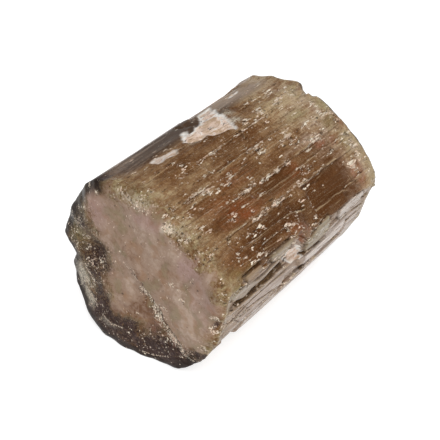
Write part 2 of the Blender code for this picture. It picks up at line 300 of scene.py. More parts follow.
# %% Plates
LEDGES = (
    # x from, x to, place from, place to, depth
    (3.2, 9.4, 5.2, 6.08, 0.4),
    (8.6, 13.4, 4.75, 6.16, 0.45),
    (17.0, 27.0, 5.25, 6.12, 0.35),
    (2.0, 13.0, 6.16, 6.48, 0.55),
    (13.0, 22.0, 6.3, 6.62, 0.5),
    (19.0, 30.0, 6.12, 6.36, 0.4),
    (6.0, 17.0, 6.66, 7.1, 0.45),
    (15.0, 27.5, 6.86, 7.5, 0.5),
    (-1.0, 7.0, 7.2, 8.3, 0.4),
    (12.0, 30.0, 3.03, 3.5, 0.18),
    (5.0, 17.5, 4.05, 4.5, 0.22),
    (19.0, 31.0, 4.1, 4.7, 0.26),
    (1.0, 9.0, 2.1, 2.8, 0.14),
    (10.0, 24.0, 1.3, 1.9, 0.14),
    (4.0, 15.0, 12.2, 12.8, 0.4),
    (16.0, 26.0, 12.5, 13.3, 0.45),
    (3.0, 12.0, 16.3, 17.3, 0.35),
    (11.0, 22.0, 17.2, 17.8, 0.4),
    (20.0, 31.0, 16.2, 17.5, 0.45),
    (6.0, 14.0, 18.1, 18.9, 0.3),
    (17.5, 28.0, 18.6, 20.5, 0.28),
)


def plates(way, x):
    """How deep the flaked plates lie, and how close a point is to a plate's edge, from 0 to 1."""
    along, across = ragged(way, x)
    depth, edge = np.zeros(np.shape(x)), np.zeros(np.shape(x))
    for x_from, x_to, place_from, place_to, deepest in LEDGES:
        way_from, way_to = np.interp((place_from, place_to), np.arange(len(ways)), ways)
        inside_x = np.minimum(x + along - x_from, x_to - x - along)
        inside = np.minimum(inside_x, np.minimum(way + across - way_from, way_to - way - across))
        depth = np.maximum(depth, deepest * rise(inside, -0.08, 0.1))
        edge = np.maximum(edge, np.exp(-((inside / 0.16) ** 2)) * min(1.0, deepest / 0.35))
    return depth, edge


print(len(LEDGES), "plates")

# %% [markdown]
# Below the ridge lines lie smooth, shallow steps. Their floors slant, and their colour is darkened with
# painted shade.

# %% Shallow steps
SHALLOW_STEPS = (
    # x from, x to, way from, way to, depth at the upper edge
    (13.2, 20.8, 11.7, 14.4, 0.26),
    (5.0, 13.0, 11.5, 13.4, 0.14),
    (21.0, 27.5, 11.5, 14.2, 0.18),
    (7.6, 17.4, 14.85, 17.8, 0.26),
    (17.9, 27.8, 14.7, 20.8, 0.28),
    (4.5, 15.5, 7.0, 8.9, 0.14),
    (11.0, 24.0, 8.9, 11.2, 0.13),
    (2.2, 9.0, 9.2, 11.3, 0.15),
    (2.0, 11.0, 12.0, 14.4, 0.16),
    (13.5, 20.5, 4.6, 7.4, 0.12),
    (20.0, 29.0, 2.0, 4.6, 0.13),
    (19.5, 28.0, 5.6, 8.6, 0.12),
    (3.5, 12.0, 3.4, 5.2, 0.12),
)


def shallow_steps(way, x):
    """How deep the shallow steps lie: deepest at their upper edge, and nothing at their lower one."""
    along, across = ragged(way, x)
    depth = np.zeros(np.shape(x))
    for x_from, x_to, way_from, way_to, deepest in SHALLOW_STEPS:
        inside_x = np.minimum(x + along - x_from, x_to - x - along)
        down = (way + across - way_from) / (way_to - way_from)
        slope = rise(way + across - way_from, -0.06, 0.09) * np.clip(1.0 - down, 0.0, 1.0)
        depth = np.maximum(depth, deepest * slope * rise(inside_x, 0.0, 2.0))
    return depth


print(len(SHALLOW_STEPS), "shallow steps")

# %% [markdown]
# Thin sheets have split off the side face, each with its own tint and a seam round it, darkened as
# painted shade in the gap. The line along which the shoulder above them broke is listed too: below it,
# the colour carries a pale painted sheen, the side face's reflection of the floor.

# %% Sheets on the side face
SHEETS = (
    # fairness is how pale the painted sheen on a sheet is, and below 0 how tan its tint is
    # depth, greenness, fairness, then the outline as (x, way)
    (0.08, 0.1, -0.7, ((4.2, 19.4), (4.8, 20.8), (6.5, 21.0), (7.6, 20.7), (7.4, 19.2), (5.9, 19.3))),
    (0.1, 0.6, -0.3, ((9.0, 19.4), (9.6, 21.2), (11.5, 22.0), (12.8, 21.8), (13.3, 21.0),
        (13.5, 19.2), (10.5, 19.4))),
    (0.2, 0.4, 0.3, ((1.3, 20.4), (2.7, 22.6), (5.1, 23.7), (6.6, 23.3), (8.8, 23.5), (10.9, 23.1),
        (13.0, 22.2), (12.8, 21.9), (10.2, 22.3), (8.3, 22.7), (4.1, 21.1))),
    (0.12, 0.8, -0.2, ((16.8, 21.1), (17.7, 24.4), (21.7, 25.0), (22.5, 23.0), (21.3, 19.6),
        (20.6, 18.3), (18.9, 18.6), (17.4, 19.6))),
    (0.08, 0.1, 1.0, ((23.1, 19.1), (24.0, 22.0), (24.9, 23.6), (27.4, 23.4), (29.6, 23.0),
        (27.8, 18.8), (25.6, 18.7))),
    (0.14, 0.0, 0.3, ((3.6, 26.0), (9.0, 25.6), (14.6, 26.2), (14.2, 28.2), (11.8, 28.6), (9.6, 29.8),
        (6.0, 28.8))),
    (0.1, 0.0, 0.8, ((18.2, 25.8), (22.4, 25.7), (26.8, 25.0), (27.0, 28.0), (22.0, 29.6),
        (18.6, 29.0))),
)
SHOULDER_X = (
    0.0, 1.3, 2.6, 4.1, 4.2, 7.5, 7.7, 8.9, 9.0, 13.5, 14.4, 16.2, 16.8, 17.4, 18.9, 20.6, 21.3, 22.9,
    25.6, 27.8, 28.8, 33.0,
)
SHOULDER_WAY = (
    20.4, 20.3, 21.4, 21.0, 19.4, 19.3, 20.9, 21.0, 19.4, 19.2, 20.6, 22.0, 21.2, 19.6, 18.6, 18.3, 19.5,
    19.2, 18.6, 18.7, 19.4, 19.6,
)


def sheets(way, x):
    """How deep the thin sheets of the side face lie, where they and their seams are, their tints, and how
    pale their painted sheen is.
    """
    along, across = ragged(way, x)
    depth, on_sheet, seam, green, fair = np.zeros((5, *np.shape(x)))
    for deepest, greenness, fairness, corners in SHEETS:
        inside = inside_outline(x + 0.3 * along, way + 0.6 * across, corners)
        shown = rise(inside, -0.04, 0.08)
        depth = np.maximum(depth, deepest * shown)
        on_sheet = np.maximum(on_sheet, shown)
        seam = np.maximum(seam * (1.0 - shown), np.exp(-(((inside + 0.05) / 0.11) ** 2)))
        green = green * (1.0 - shown) + greenness * shown
        fair = fair * (1.0 - shown) + fairness * shown
    return depth, on_sheet, seam, green, fair


print(len(SHEETS), "sheets")

# %% [markdown]
# A scoop is an ellipsoid bitten out of the surface, with a ragged edge. A chip has a given outline
# and an almost even depth, with lumps on its floor. Most are pale, and one is rusty.

# %% Scoops and chips
SCOOPS = (
    # x, y, z, length, width, depth, paleness
    (17.6, 4.6, 23.8, 5.0, 2.6, 0.45, 0.0),  # under the large pale chip beside the crest
    (24.6, -12.6, 16.8, 2.6, 1.1, 0.4, 0.0),
    (31.0, -12.6, 15.2, 2.4, 1.3, 0.6, 0.2),  # the nick at the far end of the shoulder
    (14.6, -10.4, 6.8, 2.0, 1.9, 0.7, 0.2),  # a nick in the lower edge
    (7.0, -7.0, 2.8, 3.4, 1.6, 0.45, 0.2),
    (30.6, -0.8, 24.4, 3.4, 1.2, 0.6, 0.2),  # the gap between the rough end's two lobes
    (4.4, 12.8, 13.8, 2.6, 2.2, 0.6, 0.1),  # dents on the back
    (14.0, 12.6, 14.6, 3.6, 1.7, 0.5, 0.2),
    (22.6, 11.6, 17.4, 2.8, 1.6, 0.45, 0.2),
    (19.5, 11.4, 6.6, 4.2, 1.6, 0.55, 0.1),
    (26.4, 9.0, 2.4, 2.8, 1.8, 0.6, 0.1),
)
CHIPS = (
    # depth, rustiness, then the outline as (x, way): negative ways lie on the smooth band
    (0.42, 0.0, ((12.0, 1.2), (12.5, 1.9), (13.6, 2.6), (14.7, 2.4), (15.3, 3.2), (16.7, 3.7),
        (18.2, 4.4), (18.7, 3.4), (19.3, 2.0), (20.0, 0.0), (20.9, -1.8), (21.9, -3.6), (20.6, -4.2),
        (19.2, -3.2), (17.9, -1.7), (16.9, -0.7), (15.6, -0.4), (14.6, -0.1), (14.0, -0.9),
        (13.2, -0.6), (12.6, 0.2))),
    (0.22, 0.3, ((6.3, 0.9), (6.6, 1.8), (8.3, 2.0), (9.7, 2.3), (10.4, 1.5), (9.4, 1.2), (8.2, 1.0),
        (7.4, 0.4))),
    (0.5, 1.0, ((14.0, 21.6), (14.2, 20.0), (14.8, 19.3), (15.6, 19.3), (16.6, 20.8), (17.2, 22.3),
        (16.8, 23.2), (15.6, 22.4))),
    (0.3, 0.0, ((12.7, 23.0), (12.6, 21.5), (13.6, 21.4), (14.9, 21.8), (16.0, 22.2), (17.3, 23.8),
        (17.9, 25.0), (17.4, 25.9), (16.3, 25.9), (14.8, 25.3), (13.5, 24.0))),
    (0.12, 0.0, ((24.0, -2.3), (25.2, -2.9), (26.6, -2.6), (25.6, -1.8))),
    (0.14, 0.0, ((12.2, -14.6), (13.6, -14.1), (15.8, -14.5), (14.4, -15.0), (13.0, -15.3))),
    (0.14, 0.0, ((21.6, -11.9), (22.8, -11.2), (24.0, -11.6), (23.0, -12.4))),
    (0.12, 0.0, ((17.6, 53.6), (19.4, 53.1), (21.4, 53.4), (20.4, 54.3), (18.6, 54.2))),
)


def chips(points, way, x):
    """How deep the chips cut, how pale and how rusty they are, and how close to a pale chip's rim."""
    wobble = 0.35 * ribs(way, x, 1.0, 1.0, 51, False) + 0.2 * ribs(way, x, 0.4, 0.4, 52, False)
    lumps = 0.5 * ribs(way, x, 0.8, 1.1, 53) + 0.3 * ribs(way, x, 0.35, 0.5, 54)
    depth, pale, rust, rim = np.zeros((4, *np.shape(x)))
    for *centre, length, width, deepest, paleness in SCOOPS:
        away = (((points - centre) / (length / 2, width, width)) ** 2).sum(axis=-1)
        inside = 1.0 - away * (1.0 + 2.0 * wobble) + 0.5 * lumps
        depth = np.maximum(depth, deepest * np.clip(inside, 0.0, 1.0) ** 0.6)
        pale = np.maximum(pale, paleness * rise(inside + lumps, 0.1, 0.7))
    for deepest, rustiness, corners in CHIPS:
        inside = inside_outline(x, signed_way(way), corners) + 0.5 * wobble
        depth = np.maximum(depth, deepest * rise(inside, -0.05, 0.3) * (0.75 + 0.5 * lumps))
        shown = rise(inside, -0.02, 0.14)
        pale = np.maximum(pale * (1.0 - rustiness * shown), (1.0 - rustiness) * shown)
        rust = np.maximum(rust, rustiness * shown)
        # The rim is where the material paints a white highlight along a pale chip's edge.
        rim = np.maximum(rim, (1.0 - rustiness) * np.exp(-(((inside - 0.12) / 0.26) ** 2)))
    return depth, pale, rust, rim


print(len(SCOOPS), "scoops,", len(CHIPS), "chips")

# %% Gashes in the side face
GASHES = (
    # half width, depth, then a line through (x, way) points
    (0.34, 0.6, ((3.8, 23.9), (7.7, 24.3), (11.0, 24.4))),
    (0.3, 0.55, ((8.6, 24.3), (11.0, 23.9), (14.2, 24.4))),
    (0.16, 0.35, ((0.8, 25.8), (4.0, 26.3), (7.4, 27.5))),
    (0.16, 0.45, ((5.6, 26.5), (11.8, 27.6), (15.2, 30.4))),
    (0.22, 0.5, ((17.4, 30.2), (20.2, 30.6))),
    (0.13, 0.45, ((17.4, 25.0), (21.8, 25.6))),
    (0.18, 0.5, ((23.4, 24.2), (27.2, 23.9), (30.0, 24.5))),
    (0.14, 0.35, ((24.6, 26.0), (29.2, 25.6))),
    (0.2, 0.4, ((26.2, 30.2), (27.0, 30.4))),
    (0.14, 0.3, ((5.2, 21.9), (8.4, 21.5))),
    (0.12, 0.25, ((16.0, 21.8), (19.4, 22.3))),
    (0.12, 0.3, ((2.2, 28.0), (6.4, 28.8))),
    (0.11, 0.35, ((18.6, 25.3), (22.0, 25.1))),
    (0.11, 0.35, ((24.5, 22.9), (26.5, 23.0), (28.9, 23.2))),
    (0.1, 0.3, ((21.2, 26.7), (24.0, 28.4), (27.0, 30.5))),
    (0.1, 0.3, ((9.8, 28.7), (11.6, 27.9), (13.0, 27.9))),
    (0.1, 0.25, ((2.6, 24.9), (6.0, 25.3), (9.8, 25.6))),
)


def gashes(way, x):
    """How deep the gashes cut, and how much painted shade darkens them, from 0 to 1."""
    wobble = 0.16 * ribs(way, x, 0.8, 1.2, 55, False) + 0.09 * ribs(way, x, 0.3, 0.5, 56, False)
    depth, dark = np.zeros((2, *np.shape(x)))
    for half, deepest, corners in GASHES:
        across = (from_line(x, way, corners) + wobble * (0.5 + half)) / half
        depth = np.maximum(depth, deepest * np.clip(1.0 - across, 0.0, 1.0) ** 0.7)
        dark = np.maximum(dark, rise(-across, -1.15, -0.6))
    return depth, dark


print(len(GASHES), "gashes")

# %% [markdown]
# Close to the rough end, curved cracks cross the grooves, pale with a haze round them, or dark.

# %% Curved cracks
CRACKS = (
    # how pale, or below 0 how dark, half width, then a line through (x, way) points
    (0.9, 0.2, ((23.2, 10.7), (24.3, 10.6), (25.9, 11.3))),
    (0.6, 0.13, ((19.6, 11.0), (20.3, 10.7), (22.2, 10.7), (23.2, 10.8))),
    (0.6, 0.24, ((25.8, 9.1), (26.5, 9.1), (27.0, 9.5), (27.3, 10.0), (27.4, 11.1))),
    (0.8, 0.14, ((28.5, 9.5), (29.9, 9.6), (30.5, 9.9))),
    (-0.9, 0.14, ((25.7, 14.2), (26.8, 15.2), (26.9, 15.8), (27.0, 16.9), (27.1, 17.8))),
    (0.7, 0.12, ((27.7, 15.5), (28.4, 16.5), (28.3, 17.4))),
    (0.6, 0.28, ((29.4, 13.4), (29.4, 14.6), (29.8, 16.2), (29.8, 17.3))),
    (0.7, 0.11, ((22.2, 8.9), (22.4, 9.5), (22.1, 10.3), (21.5, 10.7))),
    (0.5, 0.22, ((28.8, 6.0), (29.4, 7.6), (29.0, 9.0))),
    (0.5, 0.16, ((27.4, 2.2), (28.2, 3.6), (28.0, 5.0))),
    (0.6, 0.18, ((26.8, 52.0), (27.6, 54.5), (27.2, 57.0))),
    (0.6, 0.18, ((28.6, -8.0), (29.2, -11.0), (28.8, -14.0))),
    (-0.7, 0.15, ((25.6, -9.5), (26.2, -12.0), (25.8, -14.6))),
    (-0.7, 0.15, ((4.8, 52.5), (5.4, 55.0), (5.0, 58.0))),
)


def curved_cracks(way, x):
    """Curved cracks that cross the grooves: how pale a point is on one, below 0 how dark, and their haze."""
    wobble = 0.16 * ribs(way, x, 0.8, 1.2, 95, False) + 0.08 * ribs(way, x, 0.3, 0.4, 96, False)
    lines, haze = np.zeros((2, *np.shape(x)))
    for paleness, half, corners in CRACKS:
        away = (from_line(x, signed_way(way), corners) + wobble) / half
        lines = lines + paleness * np.exp(-(away**2))
        haze = np.maximum(haze, paleness * np.exp(-((away / 2.0) ** 2)))
    return lines, haze


print(len(CRACKS), "curved cracks")

# %% [markdown]
# Nicks are fresh chips of less than a millimetre, and their cream colour is partly a painted glint. Those
# that the photograph shows are listed, and a seeded generator lays six more chains of them on the back.
# On the flat end, painted glints lie in streaks.

# %% Nicks and streaks
NICKS = np.array([
    # x, way, half length: the first rows are chains along two ridge lines
    (9.9, 14.7, 0.35), (11.0, 14.7, 0.35), (12.4, 14.6, 0.45), (13.9, 14.6, 0.6), (15.4, 14.7, 0.4),
    (16.8, 14.8, 0.3), (18.6, 14.3, 0.3), (10.8, 11.2, 0.25), (11.9, 11.3, 0.35), (13.4, 11.3, 0.45),
    (14.7, 11.5, 0.3), (15.8, 11.6, 0.4), (17.6, 11.6, 0.3), (19.4, 11.7, 0.35), (23.6, 10.7, 0.35),
    (24.6, 11.0, 0.45), (25.6, 11.3, 0.4), (7.8, 8.9, 0.3), (7.9, 9.2, 0.25), (8.9, 9.3, 0.25),
    (11.7, 8.5, 0.25), (11.1, 9.1, 0.3), (10.9, 9.5, 0.2), (14.3, 5.8, 0.22), (16.0, 7.7, 0.25),
    (16.6, 8.9, 0.28), (16.4, 9.6, 0.2), (7.4, 13.1, 0.3), (7.5, 13.4, 0.25), (10.5, 13.7, 0.28),
    (1.7, 14.8, 0.4), (1.4, 15.1, 0.3), (1.3, 15.8, 0.25), (4.9, 16.5, 0.35), (4.8, 16.9, 0.3),
    (7.0, 17.2, 0.25), (22.3, 9.5, 0.25), (20.1, 8.0, 0.35), (20.6, 15.8, 0.25), (22.3, 15.9, 0.2),
    (27.3, 2.4, 0.35), (28.1, 2.8, 0.3), (27.5, 4.0, 0.3), (26.5, 3.9, 0.25), (22.3, 5.8, 0.35),
    (21.2, 4.9, 0.35), (19.9, 4.7, 0.2), (22.8, 4.5, 0.4), (25.4, 4.6, 0.25), (24.3, -2.7, 0.4),
    (25.3, -2.6, 0.4), (25.9, -0.6, 0.35), (24.0, 4.0, 0.2), (13.5, 19.2, 0.4), (13.9, 18.8, 0.35),
    (14.7, 18.5, 0.4), (15.4, 18.6, 0.3), (18.1, 18.4, 0.3), (18.5, 17.8, 0.4), (18.7, 18.6, 0.3),
])
BACK_CHAINS = (
    # x from, x to, way
    (4.0, 12.0, -8.5), (13.0, 22.0, -12.4), (22.0, 29.0, 57.3),
    (6.0, 13.0, 53.7), (16.0, 24.0, 50.8), (3.0, 8.0, 59.8),
)
CHAIN_NICKS = 9
chain_rng = np.random.default_rng(63)
for x_from, x_to, way in BACK_CHAINS:
    chain = chain_rng.uniform((x_from, way - 0.25, 0.2), (x_to, way + 0.25, 0.45), (CHAIN_NICKS, 3))
    NICKS = np.vstack([NICKS, chain])
FLAT_NICKS = np.array([
    # y, z, half width: most of them along the crack
    (0.7, 13.3, 0.22), (0.5, 12.9, 0.2), (0.3, 10.5, 0.28), (-0.4, 10.7, 0.18), (0.1, 10.0, 0.2),
    (-1.1, 9.8, 0.26), (-1.2, 9.4, 0.2), (-1.7, 8.7, 0.18), (-1.7, 8.3, 0.28), (-2.9, 10.0, 0.16),
    (-3.3, 9.9, 0.2), (-4.1, 11.8, 0.18), (-3.8, 9.7, 0.2), (-1.6, 7.8, 0.18), (-3.3, 8.4, 0.22),
    (-1.3, 7.1, 0.18), (-3.0, 7.0, 0.2), (-3.4, 6.6, 0.16), (-5.1, 6.5, 0.2), (-5.8, 13.8, 0.22),
    (-7.2, 14.5, 0.18), (0.8, 6.8, 0.18), (2.2, 7.1, 0.18), (8.4, 5.3, 0.35), (7.5, 5.4, 0.25),
    (10.4, 11.8, 0.2), (8.5, 11.2, 0.2), (2.0, 16.6, 0.18), (1.5, 23.5, 0.2), (1.7, 20.6, 0.18),
    (-4.1, 21.8, 0.5), (-4.6, 21.5, 0.4), (9.7, 18.0, 0.3), (8.3, 18.9, 0.3), (6.2, 22.0, 0.35),
    (7.8, 22.0, 0.3), (8.4, 18.7, 0.3), (8.9, 18.5, 0.2), (-4.9, 21.7, 0.25),
    (-4.4, 22.1, 0.25), (-3.5, 22.8, 0.2), (-4.4, 6.0, 0.2), (-5.7, 3.3, 0.25), (-5.7, 4.3, 0.2),
    (-5.2, 5.2, 0.18), (-3.7, 23.0, 0.3), (-10.7, 10.9, 0.2), (-11.1, 11.9, 0.2), (-11.6, 10.7, 0.2),
])
FLAT_STREAKS = (
    # half width, then a line through (y, z) points: on the worn rim, and round a small pit
    (0.2, ((8.8, 10.2), (8.3, 8.9), (7.6, 8.1))),
    (0.26, ((9.2, 6.1), (8.2, 5.2), (7.3, 4.5))),
    (0.14, ((6.4, 3.6), (4.8, 3.1), (2.9, 3.5))),
    (0.12, ((0.5, 1.0), (-1.6, 1.2), (-3.9, 2.3))),
    (0.22, ((-10.5, 12.2), (-11.2, 12.6), (-11.7, 11.7), (-11.5, 10.4), (-10.8, 10.0), (-10.4, 10.7))),
)


def nicks(u, v, table, slenderness):
    """How close each point is to the middle of a nick: 1 in a middle, and nothing outside all nicks."""
    close = np.zeros(np.shape(u))
    for u0, v0, size in table:
        away = np.hypot((u - u0) / size, (v - v0) / size * slenderness)
        close = np.maximum(close, np.clip(1.5 - away, 0.0, 1.0))
    return close


def streaked(y, z, table):
    """How close each point is to a line of the table, from 0 to 1.5."""
    close = [np.clip(1.5 - from_line(y, z, corners) / half, 0.0, 1.5) for half, corners in table]
    return np.max(close, axis=0)


print(len(NICKS), "nicks on the long faces,", len(FLAT_NICKS), "on the flat end")

# %% [markdown]
# The small flakes are thin rectangles, each a random length and width. They are placed one after
# another, but each one is cut from the whole surface at once.

# %% The small flakes
FLAKE_COUNT = 420


def flakes(way, x):
    """How deep the small flakes lie: thin slivers along the crystal, more of them on grooved faces."""
    rng = np.random.default_rng(61)
    depth = np.zeros(np.shape(x))
    wobble = 0.25 * ribs(way, x, 0.3, 0.8, 62)
    for _ in range(FLAKE_COUNT):
        x0, way0 = rng.uniform(0.5, LENGTH - 0.5), rng.uniform(0.0, GIRTH)
        half_length, half_width = rng.uniform(0.3, 2.2) ** 1.2, rng.uniform(0.09, 0.32)
        deepest = rng.uniform(0.03, 0.11) * min(1.0, corner_value(way0, GROOVES) / 0.16)
        off = (way - way0 + GIRTH / 2) % GIRTH - GIRTH / 2
        inside = np.minimum((half_width - np.abs(off)) / 0.1, (half_length - np.abs(x - x0)) / 0.25 + wobble)
        depth = np.maximum(depth, deepest * np.clip(inside, 0.0, 1.0))
    return depth


print(FLAKE_COUNT, "flakes")

# %% [markdown]
# ## The surface as rings
#
# The whole skin is a stack of rings. The rings start at the middle of the flat end, grow to its edge,
# run along the prism, and shrink to the middle of the rough end. All are worked out with the same
# number of columns. Near the middle of an end the columns crowd together, so there only every second,
# fourth or eighth one is kept.

# %% Where the columns and rings run
COLUMNS = 560
BODY_RINGS, FLAT_RINGS, ROUGH_RINGS = 116, 46, 36
CROWDED = 1.35  # above 1, the rings of an end lie closer together near its edge
FINE_STEPS = 6001  # points round the section for working out where the columns go
HIDDEN_SHARE = 0.25  # how close together the columns are on the resting face, against elsewhere
START_WAY = (ways[RESTING] + ways[RESTING + 1]) / 2  # the seam runs along the hidden resting face

fine = np.linspace(START_WAY, START_WAY + GIRTH, FINE_STEPS)
resting = np.floor(place_of(fine)) == RESTING
crowding = np.where(resting, HIDDEN_SHARE, 1.0)
crowding = np.concatenate([[0.0], np.cumsum((crowding[1:] + crowding[:-1]) / 2)])
column_way = np.interp(np.arange(COLUMNS) / COLUMNS * crowding[-1], crowding, fine) % GIRTH

body_shares = np.linspace(0.0, 1.0, BODY_RINGS)
flat_shares = 1.0 - np.linspace(0.0, 1.0, FLAT_RINGS + 2)[1:-1] ** CROWDED
rough_shares = 1.0 - np.linspace(0.0, 1.0, ROUGH_RINGS + 2)[1:-1] ** CROWDED
print(COLUMNS, "columns,", BODY_RINGS + FLAT_RINGS + ROUGH_RINGS, "rings")

# %% [markdown]
# The body's rings are pushed in by everything that has broken off, and by the growth grooves. Two terms
# fit the body's shape to the real one: the groove between the two columns is filled more and less in
# turn along the axis, and the worn shoulder steps down halfway along, so that the last upper face is
# wider towards the rough end.

# %% Grooves and the body's larger forms
TAPER = 0.045  # how much the lower right side closes in for each millimetre along
SHOULDER_DROP = 1.8  # how far the shoulder steps down
GROOVE = 15  # the place of the groove between the two columns
GROOVE_FILL, GROOVE_REACH = 1.1, 0.8  # how far it is filled, and how many places to both sides


def groove_fill(place, x):
    """How far the groove between the two columns is filled."""
    near_groove = np.clip(1.0 - np.abs(place - GROOVE) / GROOVE_REACH, 0.0, 1.0)
    along = rise(x, 2.0, 9.0) * (0.65 + 0.35 * np.sin(0.62 * x - 1.4))
    return GROOVE_FILL * near_groove * along


def shoulder_drop(place, x):
    """How much lower the shoulder and the top of the side face lie, from halfway along on."""
    on_shoulder = np.clip(np.minimum(place - 4.0, 7.0 - place), 0.0, 1.0)
    return SHOULDER_DROP * on_shoulder * rise(x, 14.6, 17.4)


def grooves(way, x):
    """How deep the growth grooves are: long steps, wide flutes, ribs on them, and fine lines on the ribs."""
    strength = corner_value(way, GROOVES) / 0.24
    flutes = 0.1 * ribs(way, x, 1.7, 16.0, 71) + 0.06 * ribs(way, x, 0.75, 10.0, 72)
    lines = 0.028 * ribs(way, x, 0.36, 9.0, 73) + 0.016 * ribs(way, x, 0.22, 6.0, 74)
    long_steps = 0.06 * rise(ribs(way, x, 1.3, 30.0, 76), -0.1, 0.1)
    short_steps = 0.05 * rise(ribs(way, x, 0.8, 13.0, 77), 0.1, 0.3)
    return 0.12 + strength * (flutes + lines + long_steps + short_steps)


print("grooves in the middle of the back face:", grooves(ways[17] + 1.0, 16.0).round(2), "mm deep")

# %% [markdown]
# What sinks the surface along its outward direction is added up, and fades near both ends. The chips
# are cut last, into the surface that is left. Where each form lies is kept for the colours.

# %% The long faces
def unevenness(way):
    """How much more or less the flat end's edge is worn than the corner table says."""
    return 1.0 + 0.22 * ribs(way, 0.0, 1.8, 1.0, 75, False)


def long_faces(way):
    """(rings, columns, 3) points of the body, and a dictionary of what lies where on it."""
    edge = outline(way)
    start = flat_end(*edge.T) + corner_value(way, FLAT_DEPTH) * unevenness(way)
    end = LENGTH - rough_end(*edge.T) - corner_value(way, ROUGH_DEPTH)
    share = body_shares[:, None]
    x = start + (end - start) * share
    around = np.broadcast_to(way, x.shape)
    place = place_of(around)
    lower_right = rise(place, 5.0, 6.5) * rise(-place, -9.5, -8.0)
    plate, plate_edge = plates(around, x)
    gash, gash_dark = gashes(around, x)
    fade = (0.45 + 0.55 * rise(share, 0.0, 0.03)) * rise(1.0 - share, 0.0, 0.03)
    on_ground = np.floor(place) == RESTING
    shallow = shallow_steps(around, x)
    sheet, on_sheet, seam, sheet_green, fair = sheets(around, x)
    broken = (grooves(around, x) + plate + shallow + flakes(around, x)) * (1.0 - 0.7 * on_sheet)
    cracks, haze = curved_cracks(around, x)
    sunk = (broken + gash + sheet + 0.12 * seam - 0.09 * cracks) * fade * ~on_ground
    sunk = sunk + TAPER * x * lower_right - groove_fill(place, x)
    points = np.empty((*x.shape, 3))
    points[..., 0] = x
    points[..., 1:] = edge - outward(way) * sunk[..., None]
    points[..., 2] -= shoulder_drop(place, x)
    cut, pale, rust, rim = chips(points, around, x)
    nick = nicks(x, signed_way(around), NICKS, 1.7)
    cut = cut + 0.08 * nick
    points[..., 1:] -= outward(way) * cut[..., None]
    points[..., 2] = np.maximum(points[..., 2], 0.0)
    inward = sunk + cut
    curve = np.roll(inward, 1, axis=1) - 2.0 * inward + np.roll(inward, -1, axis=1)
    # Edges: from how the surface bends, pale on ridges and dark in hollows, which the material paints as
    # highlight and shade; the curved cracks are drawn into it too.
    edges = np.clip(curve / 0.09 + 1.5 * cracks * fade, -1.0, 1.0) * ~on_ground
    found = {
        "plate_edge": plate_edge * fade, "gash": gash_dark * fade, "shallow": shallow * fade, "edge": edges,
        "pale": pale, "rust": rust, "rim": rim, "nick": nick, "haze": haze,
        "seam": seam, "sheet_green": sheet_green, "fair": fair,
    }
    return points, found


body, found = long_faces(column_way)
print("body", body.shape, "with", ", ".join(found))

# %% [markdown]
# An end's rings are the outer ring's outline, drawn in towards the middle, each point set at the depth
# that the end's formula gives there.

# %% The ends, ring by ring
def end_face(edge, shares, face, width, depth):
    """(rings, columns, 3) points of an end, with x as how far each stands in, and distances from the edge."""
    reach = np.linalg.norm(edge[:, 1:] - MIDDLE, axis=1)
    yz = MIDDLE + (edge[:, 1:] - MIDDLE) * shares[:, None, None]
    from_edge = reach * (1.0 - shares[:, None])
    return np.dstack([face(yz[..., 0], yz[..., 1]) + depth * worn(1.0 - from_edge / width), yz]), from_edge


wear = (corner_value(column_way, column) for column in (FLAT_WIDTH, FLAT_DEPTH, ROUGH_WIDTH, ROUGH_DEPTH))
flat_width, flat_depth, rough_width, rough_depth = wear
flat_depth = flat_depth * unevenness(column_way)
flat, flat_from_edge = end_face(body[0], flat_shares, flat_end, flat_width, flat_depth)
rough, rough_from_edge = end_face(body[-1], rough_shares, rough_end, rough_width, rough_depth)
rough[..., 0] = LENGTH - rough[..., 0]
print("flat end", flat.shape, "rough end", rough.shape)

# %% [markdown]
# ## Skin the rings
#
# Two neighbouring rings with the same columns are joined by four-sided faces. Where the inner ring has
# half as many, three triangles take the place of two of those. The middle of each end is closed by a
# fan.

# %% Points and faces
def steps_for(shares):
    """Which columns each ring of an end keeps: every one, second, fourth or eighth."""
    return np.select([shares > 0.5, shares > 0.25, shares > 0.12], [1, 2, 4], 8)


def joined(first, second):
    """Faces between two rings of point numbers, where one may have half as many as the other."""
    after_first, after_second = np.roll(first, -1), np.roll(second, -1)
    if len(first) == len(second):
        return np.stack([first, after_first, after_second, second], 1).tolist()
    if len(first) < len(second):
        even, odd = second[::2], second[1::2]
        parts = ((first, after_first, odd), (first, odd, even), (after_first, np.roll(even, -1), odd))
    else:
        even, odd = first[::2], first[1::2]
        parts = ((even, odd, second), (odd, after_second, second), (odd, np.roll(even, -1), after_second))
    return np.concatenate([np.stack(part, 1) for part in parts]).tolist()


def skin(rings, steps):
    """Points of all the kept columns, then the two middle points, and the faces between them."""
    kept = [np.arange(0, COLUMNS, step) for step in steps]
    counts = np.cumsum([0] + [len(columns) for columns in kept])
    points = np.concatenate([ring[columns] for ring, columns in zip(rings, kept)])
    numbers = [np.arange(a, b) for a, b in zip(counts, counts[1:])]
    faces = [face for pair in zip(numbers, numbers[1:]) for face in joined(*pair)]
    tip, tail = counts[-1], counts[-1] + 1
    first, last = numbers[0], numbers[-1]
    faces += [(tip, b, a) for a, b in zip(first, np.roll(first, -1))]
    faces += [(tail, a, b) for a, b in zip(last, np.roll(last, -1))]
    middles = np.array([rings[0].mean(axis=0), rings[-1].mean(axis=0)])
    return np.concatenate([points, middles]), faces, kept


rings = np.concatenate([flat[::-1], body, rough])
steps = np.concatenate([steps_for(flat_shares[::-1]), np.ones(len(body), int), steps_for(rough_shares)])
points, faces, kept = skin(rings, steps)
triangles = sum(len(face) - 2 for face in faces)
print(len(points), "points,", triangles, "triangles")

# %% [markdown]
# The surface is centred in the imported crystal's box, with its resting face on the ground.

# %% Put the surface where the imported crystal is
SHARP_FROM = 38.0  # degrees between two faces, from which their edge looks sharp

low, high = (np.array(corner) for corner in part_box("crystal"))
shift = (low + high) / 2 / MM - (points.min(axis=0) + points.max(axis=0)) / 2
shift[2] = 0.0
print("moved by", shift.round(3), "mm; box", np.ptp(points, axis=0).round(2), "mm")

